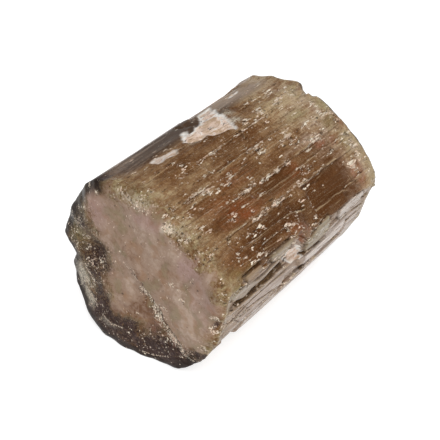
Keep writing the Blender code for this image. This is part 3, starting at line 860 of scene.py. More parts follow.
mesh = bpy.data.meshes.new("crystal_surface")
mesh.from_pydata((points + shift) * MM, [], faces)
mesh.shade_smooth()
mesh.set_sharp_from_angle(angle=np.radians(SHARP_FROM))
crystal = bpy.data.objects.new("crystal_surface", mesh)
bpy.context.scene.collection.objects.link(crystal)
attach(crystal, "root")
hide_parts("crystal")

# %% [markdown]
# ## Where the colours lie
#
# The colours follow the crystal's growth and wear. Each is a mask: a number on every point of the
# surface, mostly from 0 to 1, and below 0 where there are two opposites. The material reads the masks
# later, and breaks them up with noise. Patches are listed as soft ovals: those on the long faces
# by x and way, and those on the flat end by y and z.
# Some masks place painted light and shade rather than the crystal's own colour: a sheen on the side face, a
# reflection on the smooth band, shade on the worn rim, in gashes, seams and cracks, and highlights and glints
# on edges, lines, chips and specks.

# %% Patches on the long faces
BODY_PATCHES = {
    "tone": (
        # x, way, half length, half width, amount: below 0 darker, above 0 paler
        (16.8, 13.0, 4.0, 1.2, -0.22), (13.0, 16.6, 4.2, 1.3, -0.28), (22.8, 17.8, 5.4, 3.2, -0.26),
        (8.0, 18.6, 3.5, 1.2, -0.22), (14.6, 3.6, 3.2, 0.8, -0.22), (8.0, 6.2, 4.0, 1.6, 0.14),
        (2.6, 9.0, 1.8, 5.0, 0.16), (26.0, 6.0, 4.5, 5.0, 0.38), (30.5, 12.0, 2.0, 9.0, 0.25),
        (24.6, -2.2, 5.0, 2.4, 0.5), (15.0, -2.0, 3.0, 2.0, -0.3), (5.0, 14.8, 3.0, 1.6, 0.1),
        (6.5, 17.2, 4.0, 1.8, -0.26), (8.5, 13.0, 4.0, 1.6, -0.14), (30.2, 16.0, 2.6, 4.0, 0.22),
        (29.6, 11.2, 0.8, 1.2, -0.4), (30.8, 14.8, 0.7, 1.0, -0.4), (28.8, 8.0, 0.8, 0.8, -0.35),
        (30.2, 3.4, 0.8, 0.9, -0.35), (27.5, 2.0, 4.0, 4.0, 0.22), (8.0, 55.0, 5.0, 2.6, 0.26),
        (20.0, 52.0, 6.0, 2.0, -0.22), (26.0, 58.0, 4.0, 2.6, 0.24), (6.0, -14.5, 5.0, 1.8, -0.22),
        (17.0, -9.0, 6.0, 1.6, 0.24), (26.0, -16.0, 4.0, 2.2, -0.2),
    ),
    "calm": (
        (16.9, 13.0, 3.6, 1.2, 1.0), (22.8, 17.8, 4.8, 3.0, 1.0), (12.6, 16.8, 3.6, 1.0, 0.5),
        (22.0, 12.3, 1.9, 0.9, 0.9), (8.0, 13.6, 2.0, 0.8, 0.5), (14.6, 3.8, 3.2, 0.7, 0.6),
        (12.0, -15.6, 4.0, 1.2, 0.9), (21.0, 54.0, 3.6, 1.2, 0.9), (6.5, 58.5, 3.0, 1.0, 0.8),
    ),
    # White patches: pale streaks along the large chip's edge, partly painted highlights.
    "white": (
        (19.4, 2.9, 0.8, 0.7, 1.0), (20.3, 0.9, 0.6, 1.0, 0.9), (21.3, -1.6, 0.6, 1.2, 0.9),
        (13.0, 2.0, 1.0, 0.6, 0.7), (15.6, 1.6, 1.6, 0.5, 0.5),
    ),
    "green": (
        (3.0, 21.0, 1.2, 1.4, 0.6), (3.4, 19.0, 1.6, 1.4, 0.5), (29.6, 4.6, 1.2, 1.4, 1.0),
        (30.2, 8.2, 1.0, 1.0, 1.0), (28.6, 10.2, 1.4, 1.0, 0.8), (28.9, 13.9, 1.0, 1.2, 0.8),
        (30.4, 17.5, 0.8, 1.6, 0.6), (26.0, 7.6, 1.6, 0.8, 0.7),
    ),
    "red": (
        (9.5, 13.2, 3.4, 1.4, 0.9), (7.0, 11.0, 2.6, 1.2, 0.6), (12.0, 9.4, 3.0, 1.4, 0.5),
        (20.0, 12.8, 1.6, 1.0, 0.7), (15.0, 18.2, 2.2, 0.9, 0.8), (28.1, 12.8, 0.9, 0.7, 1.6),
        (28.4, 17.0, 0.7, 1.0, 1.6), (25.3, 12.1, 0.8, 0.6, 1.4), (30.6, 12.0, 0.6, 2.4, 1.0),
        (30.3, 6.4, 0.5, 1.0, 0.9), (4.5, 17.0, 2.2, 1.6, 0.4), (15.0, 57.0, 3.4, 1.3, 0.7),
        (7.0, -11.5, 2.6, 1.4, 0.6), (24.0, -12.0, 2.6, 1.2, 0.7),
    ),
    "sparkle": (
        (13.2, 11.4, 3.4, 0.42, 1.0), (18.0, 11.6, 2.6, 0.36, 0.7), (24.6, 10.9, 1.9, 0.5, 0.9),
        (12.6, 14.7, 3.2, 0.42, 1.0), (18.6, 14.3, 0.9, 0.4, 0.8), (8.6, 5.7, 1.8, 1.3, 0.42),
        (12.8, 5.8, 2.0, 0.8, 0.45), (17.0, 8.2, 1.8, 1.3, 0.45), (7.0, 8.0, 1.6, 1.0, 0.5),
        (11.4, 8.7, 0.8, 0.5, 0.8), (3.2, 10.5, 2.0, 2.6, 0.32), (9.0, 15.8, 1.4, 0.8, 0.6),
        (7.6, 12.9, 0.8, 0.6, 0.7), (10.4, 13.0, 1.4, 0.5, 0.5), (13.4, 12.8, 0.9, 0.5, 0.6),
        (21.6, 9.2, 1.5, 1.0, 0.55), (23.2, 4.2, 1.4, 0.7, 0.75), (19.6, 4.2, 0.9, 0.4, 0.9),
        (26.2, 4.5, 1.4, 1.0, 0.65), (21.4, 13.3, 1.5, 0.9, 0.7), (2.0, 14.4, 1.1, 0.6, 0.8),
        (6.5, 17.2, 3.0, 1.6, 0.3), (18.0, 18.6, 1.2, 0.8, 0.7), (14.4, 17.6, 1.4, 0.9, 0.7),
        (28.6, 6.5, 1.6, 3.0, 0.4), (29.8, 13.0, 1.0, 4.0, 0.45), (26.6, 9.3, 1.4, 0.5, 0.9),
        (26.0, 13.2, 0.9, 0.6, 0.9), (28.2, 16.4, 0.7, 1.6, 0.5), (12.0, 21.0, 3.0, 1.2, 0.3),
        (3.2, 26.2, 2.4, 0.9, 1.6), (9.0, -8.6, 3.6, 0.5, 0.8), (18.0, -12.4, 4.4, 0.5, 0.9),
        (25.5, 57.2, 3.6, 0.5, 0.8), (9.0, 53.6, 3.6, 0.5, 0.8), (20.0, 50.6, 4.2, 0.6, 0.6),
        (28.0, -9.0, 2.2, 2.4, 0.5), (3.5, 60.0, 1.8, 3.0, 0.5),
    ),
}
print("patches on the long faces:", ", ".join(BODY_PATCHES))

# %% Patches on the flat end, and the outline of its heart
FLAT_PATCHES = {
    # y, z, half width, half height, amount
    # The white patches are mostly painted glossy highlights on the worn rim, with a few pale spots.
    "white": ((-4.1, 21.6, 0.7, 0.6, 0.9), (0.6, 23.3, 2.2, 0.6, 0.55), (-5.4, 21.6, 1.3, 0.6, 0.4),
        (9.9, 7.9, 1.1, 1.9, 1.4), (8.7, 4.9, 0.6, 1.3, 1.0), (5.4, 2.8, 1.4, 0.4, 0.4)),
    # The olive patch at (-9.3, 6.6) is a painted green glint.
    "olive": ((10.2, 14.6, 1.7, 2.2, 0.9), (9.3, 18.6, 1.2, 1.4, 0.6), (8.8, 8.0, 0.9, 2.4, 0.5),
        (-9.3, 6.6, 1.3, 1.0, 1.0), (0.5, 23.4, 3.0, 0.7, 0.5), (5.2, 21.6, 1.6, 1.0, 0.3)),
    "tone": ((-4.1, 21.8, 0.9, 0.8, 0.6), (0.5, 16.0, 2.2, 1.6, -0.22), (-0.3, 12.8, 1.0, 1.2, -0.2),
        (2.5, 9.0, 1.6, 3.0, 0.12), (-7.5, 10.0, 2.5, 3.4, 0.42), (-1.0, 19.0, 3.5, 2.0, 0.16)),
    "red": ((1.4, 16.3, 1.5, 1.1, 0.35), (-1.0, 13.5, 1.3, 0.9, 0.8), (-11.1, 11.3, 0.5, 0.5, 1.0),
        (1.3, 4.1, 0.8, 0.7, 0.7), (5.4, 9.0, 0.6, 1.6, 0.35)),
    "mauve": ((6.3, 19.3, 1.8, 2.4, 0.7), (-1.6, 21.3, 2.2, 1.0, 0.7), (-7.4, 17.8, 1.6, 2.4, 0.8),
        (-9.6, 13.5, 1.4, 3.0, 0.5), (6.6, 11.6, 1.8, 1.6, 0.5), (-4.0, 5.0, 3.0, 1.8, 0.5)),
    # Dark patches: those near the foot and in the small pit at (-11.2, 11.2) are painted shade.
    "dark": ((7.2, 11.5, 1.9, 1.7, 0.55), (-4.4, 3.6, 2.8, 1.6, 0.6), (5.6, 5.4, 1.2, 2.6, 0.35),
        (-1.9, 6.0, 1.1, 1.0, 0.4), (9.6, 16.8, 0.9, 1.0, 0.6), (-9.0, 5.0, 1.8, 0.8, 0.9),
        (-11.2, 11.2, 0.45, 0.45, 0.9), (-1.4, 8.0, 0.8, 1.2, 0.3)),
    "sparkle": ((-3.0, 9.0, 1.0, 1.2, 0.75), (-4.0, 5.0, 2.6, 1.8, 0.4), (8.0, 11.6, 1.8, 1.6, 0.25),
        (-9.5, 6.4, 1.2, 1.2, 0.4), (10.0, 14.6, 1.8, 3.0, 0.8), (0.6, 23.0, 3.0, 1.0, 0.4),
        (9.2, 8.2, 1.2, 2.2, 0.7), (-6.4, 20.6, 1.4, 1.2, 0.4), (-4.6, 14.0, 0.5, 0.4, 0.9),
        (-6.6, 12.6, 0.8, 0.4, 0.6)),
}
HEART = (
    # y, z
    (7.2, 21.8), (7.5, 19.9), (7.4, 17.8), (6.4, 16.2), (5.7, 14.8), (5.2, 13.3), (5.0, 11.2),
        (4.8, 9.6), (4.4, 7.6),
    (3.7, 6.0), (1.8, 5.4), (0.4, 4.9), (-1.4, 5.2), (-3.3, 5.8), (-4.8, 5.8), (-6.2, 4.2),
        (-8.2, 5.6), (-9.6, 8.5),
    (-10.6, 10.7), (-11.4, 12.6), (-12.0, 14.7), (-11.6, 16.7), (-10.2, 18.1), (-9.0, 18.4),
        (-7.7, 19.3), (-6.4, 20.3),
    (-5.1, 21.2), (-3.5, 22.3), (-1.9, 22.8), (-0.3, 23.1), (1.4, 23.2), (3.0, 23.1), (5.4, 22.5),
)
print("patches on the flat end:", ", ".join(FLAT_PATCHES))

# %% Soft ovals, and edges that stand out
def oval(u, v, u0, v0, half_u, half_v):
    """1 in the middle of a soft oval, and nothing well outside it."""
    return np.exp(-((((u - u0) / half_u) ** 2 + ((v - v0) / half_v) ** 2) ** 1.5))


def patched(patches, u, v):
    """The sum of a list of soft ovals."""
    return sum(amount * oval(u, v, *rest) for *rest, amount in patches)


def terrace_edges(depth):
    """From -1 in a hollow to 1 on an edge of a ring-by-ring surface, from how the depth bends."""
    bend = depth[1:-1] * 2.0 - depth[:-2] - depth[2:]
    return np.clip(np.pad(bend, ((1, 1), (0, 0))) / 0.16, -1.0, 1.0)


print("halfway out in an oval:", oval(0.5, 0.0, 0.0, 0.0, 1.0, 1.0).round(2))

# %% [markdown]
# On the flat end, the heart has an outline of its own, well inside the rim. The worn rim runs from the
# foot of the end up its left side, and is darkened there with painted shade, most at its outer lip. The
# crack is a dark line of painted shade, with a row of painted glints along its lower left side, and the
# side beyond it is a shade darker.

# %% Zones of the flat end
place = place_of(column_way)
y_flat, z_flat = flat[..., 1], flat[..., 2]
patchy = swells(y_flat, z_flat, 1.6, 85)
ragged_edge = 0.8 * swells(y_flat, z_flat, 1.5, 82) + 0.5 * swells(y_flat, z_flat, 0.6, 83)

inside_heart = inside_outline(y_flat, z_flat, HEART)
heart = rise(inside_heart + 1.3 * ragged_edge, -1.1, 1.1)
outer = 1.0 - rise(inside_heart + 1.2 * ragged_edge, -2.0, 1.0)
# The shaded side is the left and lower part of the rim. There the colour is darkened with painted shade, most
# at the outer lip and towards the foot.
shaded_side = rise(place, 7.4, 8.8) * rise(-place, -20.9, -20.2)
lip = shaded_side * (1.0 - rise(flat_from_edge + 0.4 * ragged_edge, 0.8, 2.0))
foot = rise(-z_flat, -8.0, -4.0)
dark_spots = patched(FLAT_PATCHES["dark"], y_flat + 0.6 * patchy, z_flat + 0.5 * ragged_edge)
dark_flat = shaded_side * outer * (0.5 + 0.5 * foot + 0.3 * patchy) + 0.8 * dark_spots
dark_flat = np.minimum(dark_flat, 0.75 + 0.25 * foot)
white_flat = patched(FLAT_PATCHES["white"], y_flat + 0.7 * patchy, z_flat + 0.5 * ragged_edge)
green_flat = patched(FLAT_PATCHES["olive"], y_flat, z_flat + 0.5 * patchy)
tone_flat = 0.55 + patched(FLAT_PATCHES["tone"], y_flat + 0.5 * patchy, z_flat)
print(f"the heart covers {heart.mean():.0%} of the flat end's points")

# %% The crack and the glints of the flat end
along, beyond = crack_distances(y_flat, z_flat)
on_crack = rise(along, 1.0, 3.5)
# The crack's dark line is painted shade in the crack.
crack_line = np.exp(-(((beyond + 0.06) / (0.2 + 0.12 * rise(along, 1.5, 6.0))) ** 2)) * on_crack
crack_light = np.exp(-(((beyond - 0.5) / 0.55) ** 2)) * on_crack
low_side = rise(beyond, 0.0, 0.3) * rise(along, 3.0, 8.0)

crack_glints = 1.4 * np.exp(-(((beyond - 0.5) / 0.5) ** 2)) * rise(along, 1.5, 5.0)
crack_glints = crack_glints * rise(patchy + swells(y_flat, z_flat, 0.7, 91), -0.6, 0.5)
rim_glints = streaked(y_flat + 0.1 * patchy, z_flat, FLAT_STREAKS)
nick_flat = np.maximum.reduce([nicks(y_flat, z_flat, FLAT_NICKS, 1.0), rim_glints, crack_glints])
bright_flat = patched(FLAT_PATCHES["sparkle"], y_flat, z_flat)
sparkle_flat = 0.03 + 1.6 * crack_light + 0.6 * bright_flat + 0.11 * outer
sparkle_flat = sparkle_flat * (1.0 - 0.7 * lip)
print("the crack runs along", float(along.max().round(1)), "mm")

# %% [markdown]
# The long faces are paler and more olive towards both ends, with a smooth band beside the crest whose
# grey is a painted reflection. Below the broken edge of the shoulder, the side face has a pale painted
# sheen, its reflection of the floor. Glints crowd on the ridges, and are rare on the shallow steps,
# which stay calm.

# %% Zones of the long faces
x_body, way_body = body[..., 0], np.broadcast_to(column_way, body.shape[:2])
wobble = ribs(column_way, x_body, 2.2, 5.0, 81, False)
swirl = ribs(column_way, x_body, 1.1, 1.4, 84, False)
x_wavy, way_wavy = x_body + 0.9 * swirl, signed_way(way_body) + 0.35 * wobble

tone_body = 0.46 + 0.22 * rise(-x_body + 2.0 * wobble, -9.0, -1.0)
tone_body = tone_body + 0.14 * rise(x_body + 2.4 * wobble, 25.0, 31.0)
# The shallow steps' colour is darkened with painted shade, as their floors slant.
tone_body = tone_body + patched(BODY_PATCHES["tone"], x_wavy, way_wavy) - 0.9 * found["shallow"]
red_body = patched(BODY_PATCHES["red"], x_wavy, way_wavy) + found["rust"]
# Painted shade carries on from the shaded side of the rim onto the long faces next to the flat end.
dark_body = shaded_side * rise(-x_body - 1.5 * wobble - 0.8 * swirl, -5.5, -1.2)
border_body = 0.8 * rise(-x_body - 0.5 * wobble, -3.4, -1.0)
border_body = border_body + 0.9 * rise(x_body + 0.8 * wobble, 28.5, 31.0)
# The smooth band's grey colour is a painted reflection of darker surroundings.
band = rise(place, 19.3, 20.1) + rise(-place, -0.35, 0.0)
band_body = band * rise(x_body, 1.5, 4.0) * rise(-x_body, -30.0, -27.0)

below = way_body + 0.2 * swirl - np.interp(x_body, SHOULDER_X, SHOULDER_WAY)
# Below the shoulder's broken edge, the side face gets a pale painted sheen, its reflection of the floor.
side_sheen = rise(below, -0.05, 0.12) * rise(-place, -9.6, -9.0) * rise(x_body + 0.8 * swirl, 0.8, 2.2)
fair = found["fair"] - 0.35 + 0.6 * rise(x_body, 16.5, 20.0) * rise(way_body, 23.0, 25.0)
far_haze = 0.35 * rise(x_body + 1.5 * swirl + 2.0 * wobble, 22.5, 28.0)
haze_body = (found["haze"] + far_haze) * (1.0 - side_sheen)

calm = patched(BODY_PATCHES["calm"], x_body, signed_way(way_body))
ridge = np.clip(found["edge"], 0.0, 1.0)
sparkle_body = patched(BODY_PATCHES["sparkle"], x_body + 0.3 * swirl, signed_way(way_body) + 0.12 * swirl)
sparkle_body = sparkle_body + 0.1 + 0.3 * found["plate_edge"] * (way_body < 36.0)
sparkle_body = sparkle_body * (0.42 + 1.3 * ridge) * (1.0 - 0.85 * np.clip(calm, 0.0, 1.0))
sparkle_body = sparkle_body * (1.0 - 0.5 * side_sheen)
print(f"the pale side face covers {side_sheen.mean():.0%} of the body's points")

# %% [markdown]
# The rough end has a heart too, less even than the flat one: broad dark and mauve parts, rusty spots,
# pale haze and a few cracks, which follow the edges of its terraces.

# %% Zones of the rough end
y_rough, z_rough = rough[..., 1], rough[..., 2]
lumpy = swells(y_rough, z_rough, 1.7, 86) + 0.5 * swells(y_rough, z_rough, 0.6, 87)
broad = swells(y_rough, z_rough, 4.2, 88) + 0.3 * lumpy
rough_heart = rise(rough_from_edge + 0.9 * lumpy, 0.5 * rough_width, 1.3 * rough_width)
rough_mauve = 0.45 * rise(broad, 0.1, 0.7)
rough_red = 0.9 * rise(swells(y_rough, z_rough, 2.4, 89), 0.35, 0.75)
rough_haze = 0.9 * rise(swells(y_rough, z_rough, 1.5, 90) + 0.3 * lumpy, 0.35, 0.7)
# The second term makes the rough end darker towards its foot.
rough_dark = 0.7 * rise(-broad, 0.25, 0.9) + 0.5 * rise(-z_rough, -4.5, -1.0)
rough_crack = np.exp(-((swells(y_rough, z_rough, 3.4, 36) + 0.05 * lumpy) / 0.04) ** 2)
rough_edge = terrace_edges(rough[..., 0])
sparkle_rough = 0.06 + 0.5 * np.clip(rough_edge, 0.0, 1.0) + 0.4 * rough_crack
print(f"the rough end's heart covers {rough_heart.mean():.0%} of its points")

# %% [markdown]
# Each mask is stored on the mesh under its name, from its values on the flat end, the long faces and the
# rough end. Only the kept columns count, and the two middle points take a value from the ring beside.

# %% Store the masks on the mesh
def on_rings(flat_part, body_part, rough_part):
    """One value for each point of the mesh, from the values of the three groups of rings."""
    shape = [(len(flat), COLUMNS), (len(body), COLUMNS), (len(rough), COLUMNS)]
    groups = [np.broadcast_to(part, size) for part, size in zip((flat_part, body_part, rough_part), shape)]
    groups[0] = groups[0][::-1]
    values = np.concatenate([row[columns] for row, columns in zip(np.concatenate(groups), kept)])
    return np.concatenate([values, [values[0], values[-1]]])


masks = {
    # values on the flat end, the long faces and the rough end
    "side": (0.0, rise(x_body, 0.3, 2.2) * rise(LENGTH - x_body, 0.5, 3.0), 0.0),
    "heart": (heart, 0.0, 0.8 * rough_heart),
    "low": (low_side, 0.0, 0.0),
    "mauve": (0.6 * patched(FLAT_PATCHES["mauve"], y_flat + patchy, z_flat), 0.0, rough_mauve),
    "dark": (dark_flat, dark_body, rough_dark),
    "lip": (lip, shaded_side * rise(-x_body, -2.0, -0.8), 0.0),
    "band": (0.0, band_body, 0.0),
    "tone": (tone_flat, tone_body, 0.6 + 0.2 * lumpy + 0.3 * broad),
    "red": (patched(FLAT_PATCHES["red"], y_flat, z_flat), red_body, rough_red),
    "border": (1.0 - heart, border_body, 0.6 * (1.0 - rough_heart)),
    "fair": (0.0, fair, 0.0),
    "haze": (0.0, haze_body, rough_haze),
    "seam": (0.0, found["seam"] * (1.0 - found["pale"]), 0.0),
    "sheet": (0.0, found["sheet_green"], 0.0),
    "pale": (0.0, found["pale"], 0.0),
    "rim": (0.0, found["rim"], 0.0),
    "gash": (crack_line, found["gash"], 0.8 * rough_crack),
    "sparkle": (sparkle_flat, sparkle_body, sparkle_rough),
    "side_sheen": (0.0, side_sheen, 0.0),
    "calm": (0.0, calm, 0.0),
    "edge": (terrace_edges(-flat[..., 0]), found["edge"], rough_edge),
    "nick": (nick_flat, found["nick"], 0.0),
    "white": (white_flat, patched(BODY_PATCHES["white"], x_body, signed_way(way_body)), 0.0),
    "green": (green_flat, patched(BODY_PATCHES["green"], x_wavy, way_wavy), 0.4),
}
for name, zones in masks.items():
    layer = mesh.attributes.new(name, "FLOAT", "POINT")
    layer.data.foreach_set("value", np.clip(on_rings(*zones), -1.0, 1.0).astype(np.float32))
print(len(masks), "masks:", ", ".join(masks))

# %% [markdown]
# ## The material
#
# Tourmaline is glassy, but this crystal is full of tiny cracks, so it looks solid from a step away and
# only glows a little where light comes through. One shader does both: most of its light is scattered
# at the surface, and a share goes through, where the inside swallows more blue than red.
#
# Helper functions keep the node tree readable: each adds one node or a few, and returns an output.

# %% Helpers for nodes
material = bpy.data.materials.new("dravite_surface")
material.use_nodes = True
nodes, links = material.node_tree.nodes, material.node_tree.links
shader = nodes["Principled BSDF"]


def srgb(red, green, blue):
    """A colour given as screen values from 0 to 255, as the linear values that nodes use."""
    channel = np.array([red, green, blue]) / 255.0
    linear = np.where(channel <= 0.04045, channel / 12.92, ((channel + 0.055) / 1.055) ** 2.4)
    return (*linear.tolist(), 1.0)


def feed(socket, value):
    """Links an output to a socket, or sets the socket to a constant."""
    if isinstance(value, bpy.types.NodeSocket):
        links.new(value, socket)
    else:
        socket.default_value = value


def add(kind, inputs, output=0, **settings):
    """A node of this kind, with its settings and inputs, as one of its outputs."""
    node = nodes.new(kind)
    for name, value in settings.items():
        setattr(node, name, value)
    for name, value in inputs.items():
        feed(node.inputs[name], value)
    return node.outputs[output]


def mask(name):
    """One of the masks stored on the mesh."""
    return add("ShaderNodeAttribute", {}, "Fac", attribute_name=name)


def noise(vector, scale, detail=3.0, roughness=0.55, distortion=0.0):
    """Fractal noise from 0 to 1."""
    inputs = {"Vector": vector, "Scale": scale, "Detail": detail, "Roughness": roughness,
              "Distortion": distortion}
    return add("ShaderNodeTexNoise", inputs, "Fac")


def cells(vector, scale, output):
    """Irregular cells: "Color" is random for each cell, "Distance" grows from its middle."""
    return add("ShaderNodeTexVoronoi", {"Vector": vector, "Scale": scale}, output)


def ramp(value, low, high, to_low=0.0, to_high=1.0):
    """Straight from to_low at low to to_high at high, and level outside."""
    inputs = {"Value": value, "From Min": low, "From Max": high, "To Min": to_low, "To Max": to_high}
    return add("ShaderNodeMapRange", inputs, "Result")


def maths(operation, first, second=0.0):
    """One sum of two numbers."""
    return add("ShaderNodeMath", {0: first, 1: second}, operation=operation)


def total(*values):
    """The sum of several numbers."""
    result = values[0]
    for value in values[1:]:
        result = maths("ADD", result, value)
    return result


def times(*values):
    """The product of several numbers."""
    result = values[0]
    for value in values[1:]:
        result = maths("MULTIPLY", result, value)
    return result


def mix(factor, first, second):
    """A blend of two colours."""
    node = nodes.new("ShaderNodeMix")
    node.data_type = "RGBA"
    for index, value in ((0, factor), (6, first), (7, second)):
        feed(node.inputs[index], value)
    return node.outputs[2]


def sway(texture, amount, low=0.3, high=0.7):
    """A noise as a shift, from this amount down to this amount up."""
    return ramp(texture, low, high, -amount, amount)


def lay(under, over, name, texture, low, high, least=0.0, most=1.0):
    """A colour laid over another where a mask is, with a noise that breaks it up."""
    return mix(times(mask(name), ramp(texture, low, high, least, most)), under, over)


def report():
    """Prints how many nodes there are by now."""
    print("nodes so far:", len(nodes))


print("white is", srgb(255, 255, 255))

# %% [markdown]
# All the noise is read from the object's own coordinates, in millimetres. Squeezed along X, the same
# noise gives streaks along the crystal's faces, and plain blotches on its ends.

# %% Coordinates and noises
object_place = add("ShaderNodeTexCoord", {}, "Object")


def stretched(stretch):
    """The object's coordinates in millimetres, with this many millimetres along X counting as one."""
    scale = (1.0 / MM / stretch, 1.0 / MM, 1.0 / MM)
    return add("ShaderNodeVectorMath", {0: object_place, 1: scale}, operation="MULTIPLY")


streaks = noise(stretched(12.0), 1.5, 3.0, 0.6)
hairs = noise(stretched(16.0), 4.5, 2.0, 0.6)
contours = noise(stretched(55.0), 2.4, 1.0, 0.5)
layers = noise(stretched(2.2), 1.1, 4.0, 0.6, 1.4)
gaps = noise(stretched(5.0), 1.7, 2.0)
blotches = noise(stretched(2.0), 0.42, 3.0, 0.55, 0.5)
orange_blotches = noise(stretched(1.0), 0.55, 2.0, 0.5, 0.6)
coarse = noise(stretched(1.0), 1.5, 3.0, 0.6, 1.0)
clouds = noise(stretched(1.3), 1.3, 4.0, 0.62, 0.8)
grain = noise(stretched(1.0), 3.2, 5.0, 0.7)
mottles = noise(stretched(1.0), 4.4, 3.0, 0.75)
report()

# %% [markdown]
# Where a noise that is stretched very far crosses a level, a thin long line is drawn. Each pale line is
# a painted highlight, and beside it lies a dark one of painted shade, like a groove's lit and shaded sides.

# %% Long lines
def contour(level, width):
    """Thin long lines along the crystal, where a stretched noise crosses a level."""
    off = maths("ABSOLUTE", maths("SUBTRACT", contours, level))
    return times(ramp(off, width, width * 0.4), mask("side"), ramp(streaks, 0.35, 0.6, 0.2))


highlight_lines = maths("MAXIMUM", contour(0.46, 0.01), contour(0.56, 0.008))
shade_lines = maths("MAXIMUM", contour(0.445, 0.01), contour(0.575, 0.01))
report()

# %% [markdown]
# ### Colour
#
# The body runs from dark brown through warm brown to pale olive. Its tone is the mask's, shifted by
# streaks along the grooves and by cloudy patches. Red parts show through it.

# %% The body's colour
DARK_BROWN, BROWN, TAN = srgb(90, 55, 28), srgb(116, 80, 49), srgb(147, 114, 80)
OLIVE, RED_BROWN = srgb(184, 160, 124), srgb(136, 68, 32)

liveliness = ramp(mask("calm"), 0.0, 1.0, 1.0, 0.3)
variation = total(
    sway(streaks, 0.13),
    sway(hairs, 0.09),
    sway(blotches, 0.22),
    sway(clouds, 0.2),
    sway(grain, 0.1),
)
tone = total(mask("tone"), times(variation, liveliness))
colour = mix(ramp(tone, 0.05, 0.4), DARK_BROWN, BROWN)
colour = mix(ramp(tone, 0.4, 0.7), colour, TAN)
colour = mix(ramp(tone, 0.7, 1.0), colour, OLIVE)
redness = total(mask("red"), ramp(blotches, 0.55, 0.75, 0.0, 0.35))
redness = times(redness, ramp(clouds, 0.35, 0.6, 0.4))
colour = mix(ramp(redness, 0.1, 1.0, 0.0, 0.75), colour, RED_BROWN)
report()

# %% [markdown]
# The side face has a silvery painted sheen, its reflection of the floor, with tan or greenish sheets.
# Haze lies round the curved cracks. The long lines and the edges of plates are drawn in as painted
# highlight, with painted shade beside the lines and in the hollows. Next to both ends, a mottled olive
# border covers the rest.

# %% The side face, haze, lines and borders
# The silver colours are the side face's painted sheen, a reflection of the floor; the sheets' tan and green
# tints are their own.
SHEEN_SILVER, SHEEN_SILVER_PALE = srgb(183, 165, 153), srgb(232, 220, 211)
SHEET_TAN, SHEET_GREEN = srgb(160, 134, 108), srgb(152, 142, 112)
GREEN, HIGHLIGHT_LINE, HAZE = srgb(134, 126, 76), srgb(200, 174, 138), srgb(200, 178, 160)
BORDER_DARK, BORDER_PALE = srgb(90, 72, 48), srgb(182, 168, 130)

side_sheen_colour = mix(ramp(mask("fair"), 0.0, -0.8), SHEEN_SILVER, SHEET_TAN)
fairness = total(mask("fair"), sway(hairs, 0.45), sway(streaks, 0.3))
side_sheen_colour = mix(ramp(fairness, 0.1, 1.1), side_sheen_colour, SHEEN_SILVER_PALE)
side_sheen_colour = lay(side_sheen_colour, SHEET_GREEN, "sheet", clouds, 0.3, 0.6, 0.5)
colour = lay(colour, side_sheen_colour, "side_sheen", streaks, 0.3, 0.55, 0.7)
colour = lay(colour, GREEN, "green", clouds, 0.3, 0.6, 0.2, 0.8)
colour = lay(colour, HAZE, "haze", clouds, 0.35, 0.6, 0.1, 0.75)

# Painted highlight and shade: pale lines and ridges are lit sides, dark lines and hollows shaded ones.
colour = mix(times(highlight_lines, 0.55), colour, HIGHLIGHT_LINE)
colour = mix(times(shade_lines, 0.55), colour, DARK_BROWN)
colour = mix(times(ramp(mask("edge"), 0.4, 1.0), ramp(gaps, 0.42, 0.62, 0.1), 0.7), colour, HIGHLIGHT_LINE)
colour = mix(times(ramp(mask("edge"), -0.4, -1.0), 0.6), colour, DARK_BROWN)

border_tone = total(sway(mottles, 0.3, 0.35, 0.65), sway(coarse, 0.6, 0.35, 0.65))
border_colour = mix(ramp(border_tone, -0.5, 0.5), BORDER_DARK, BORDER_PALE)
colour = lay(colour, border_colour, "border", clouds, 0.35, 0.65, 0.1, 0.8)
report()

# %% [markdown]
# The heart is tan with brown, pale, orange, olive and mauve parts. Its edge is broken up by mottles, so
# that it frays into the skin around it.

# %% The heart
MAUVE, HEART_TAN, HEART_PALE = srgb(178, 144, 146), srgb(162, 136, 118), srgb(190, 167, 150)
HEART_BROWN, HEART_ORANGE, HEART_OLIVE = srgb(116, 84, 64), srgb(150, 108, 72), srgb(150, 136, 108)

heart_tone = total(
    mask("tone"),
    sway(blotches, 0.32),
    sway(clouds, 0.22),
    sway(grain, 0.08),
    times(mask("low"), -0.42),
)
heart_colour = mix(ramp(heart_tone, 0.1, 0.5), HEART_BROWN, HEART_TAN)
heart_colour = mix(ramp(heart_tone, 0.6, 1.0), heart_colour, HEART_PALE)
heart_colour = mix(times(ramp(orange_blotches, 0.52, 0.68), 0.45), heart_colour, HEART_ORANGE)
heart_colour = mix(ramp(blotches, 0.44, 0.34, 0.0, 0.6), heart_colour, HEART_OLIVE)
heart_colour = lay(heart_colour, MAUVE, "mauve", clouds, 0.3, 0.6, 0.4)
heart_share = total(mask("heart"), sway(mottles, 0.45, 0.35, 0.65))
colour = mix(ramp(heart_share, 0.2, 0.8), colour, heart_colour)
report()

# %% The painted shade of the rim, and the painted reflection of the smooth band
DARK_AND_SHADE_BROWN, LIP_SHADE, DARK_AND_SHADE_MAUVE = srgb(44, 28, 29), srgb(24, 15, 14), srgb(98, 79, 82)
BAND_REFLECTION_GREY, BAND_REFLECTION_PALE, GLOSS_WHITE = srgb(76, 62, 52), srgb(162, 140, 124), srgb(212, 202, 182)

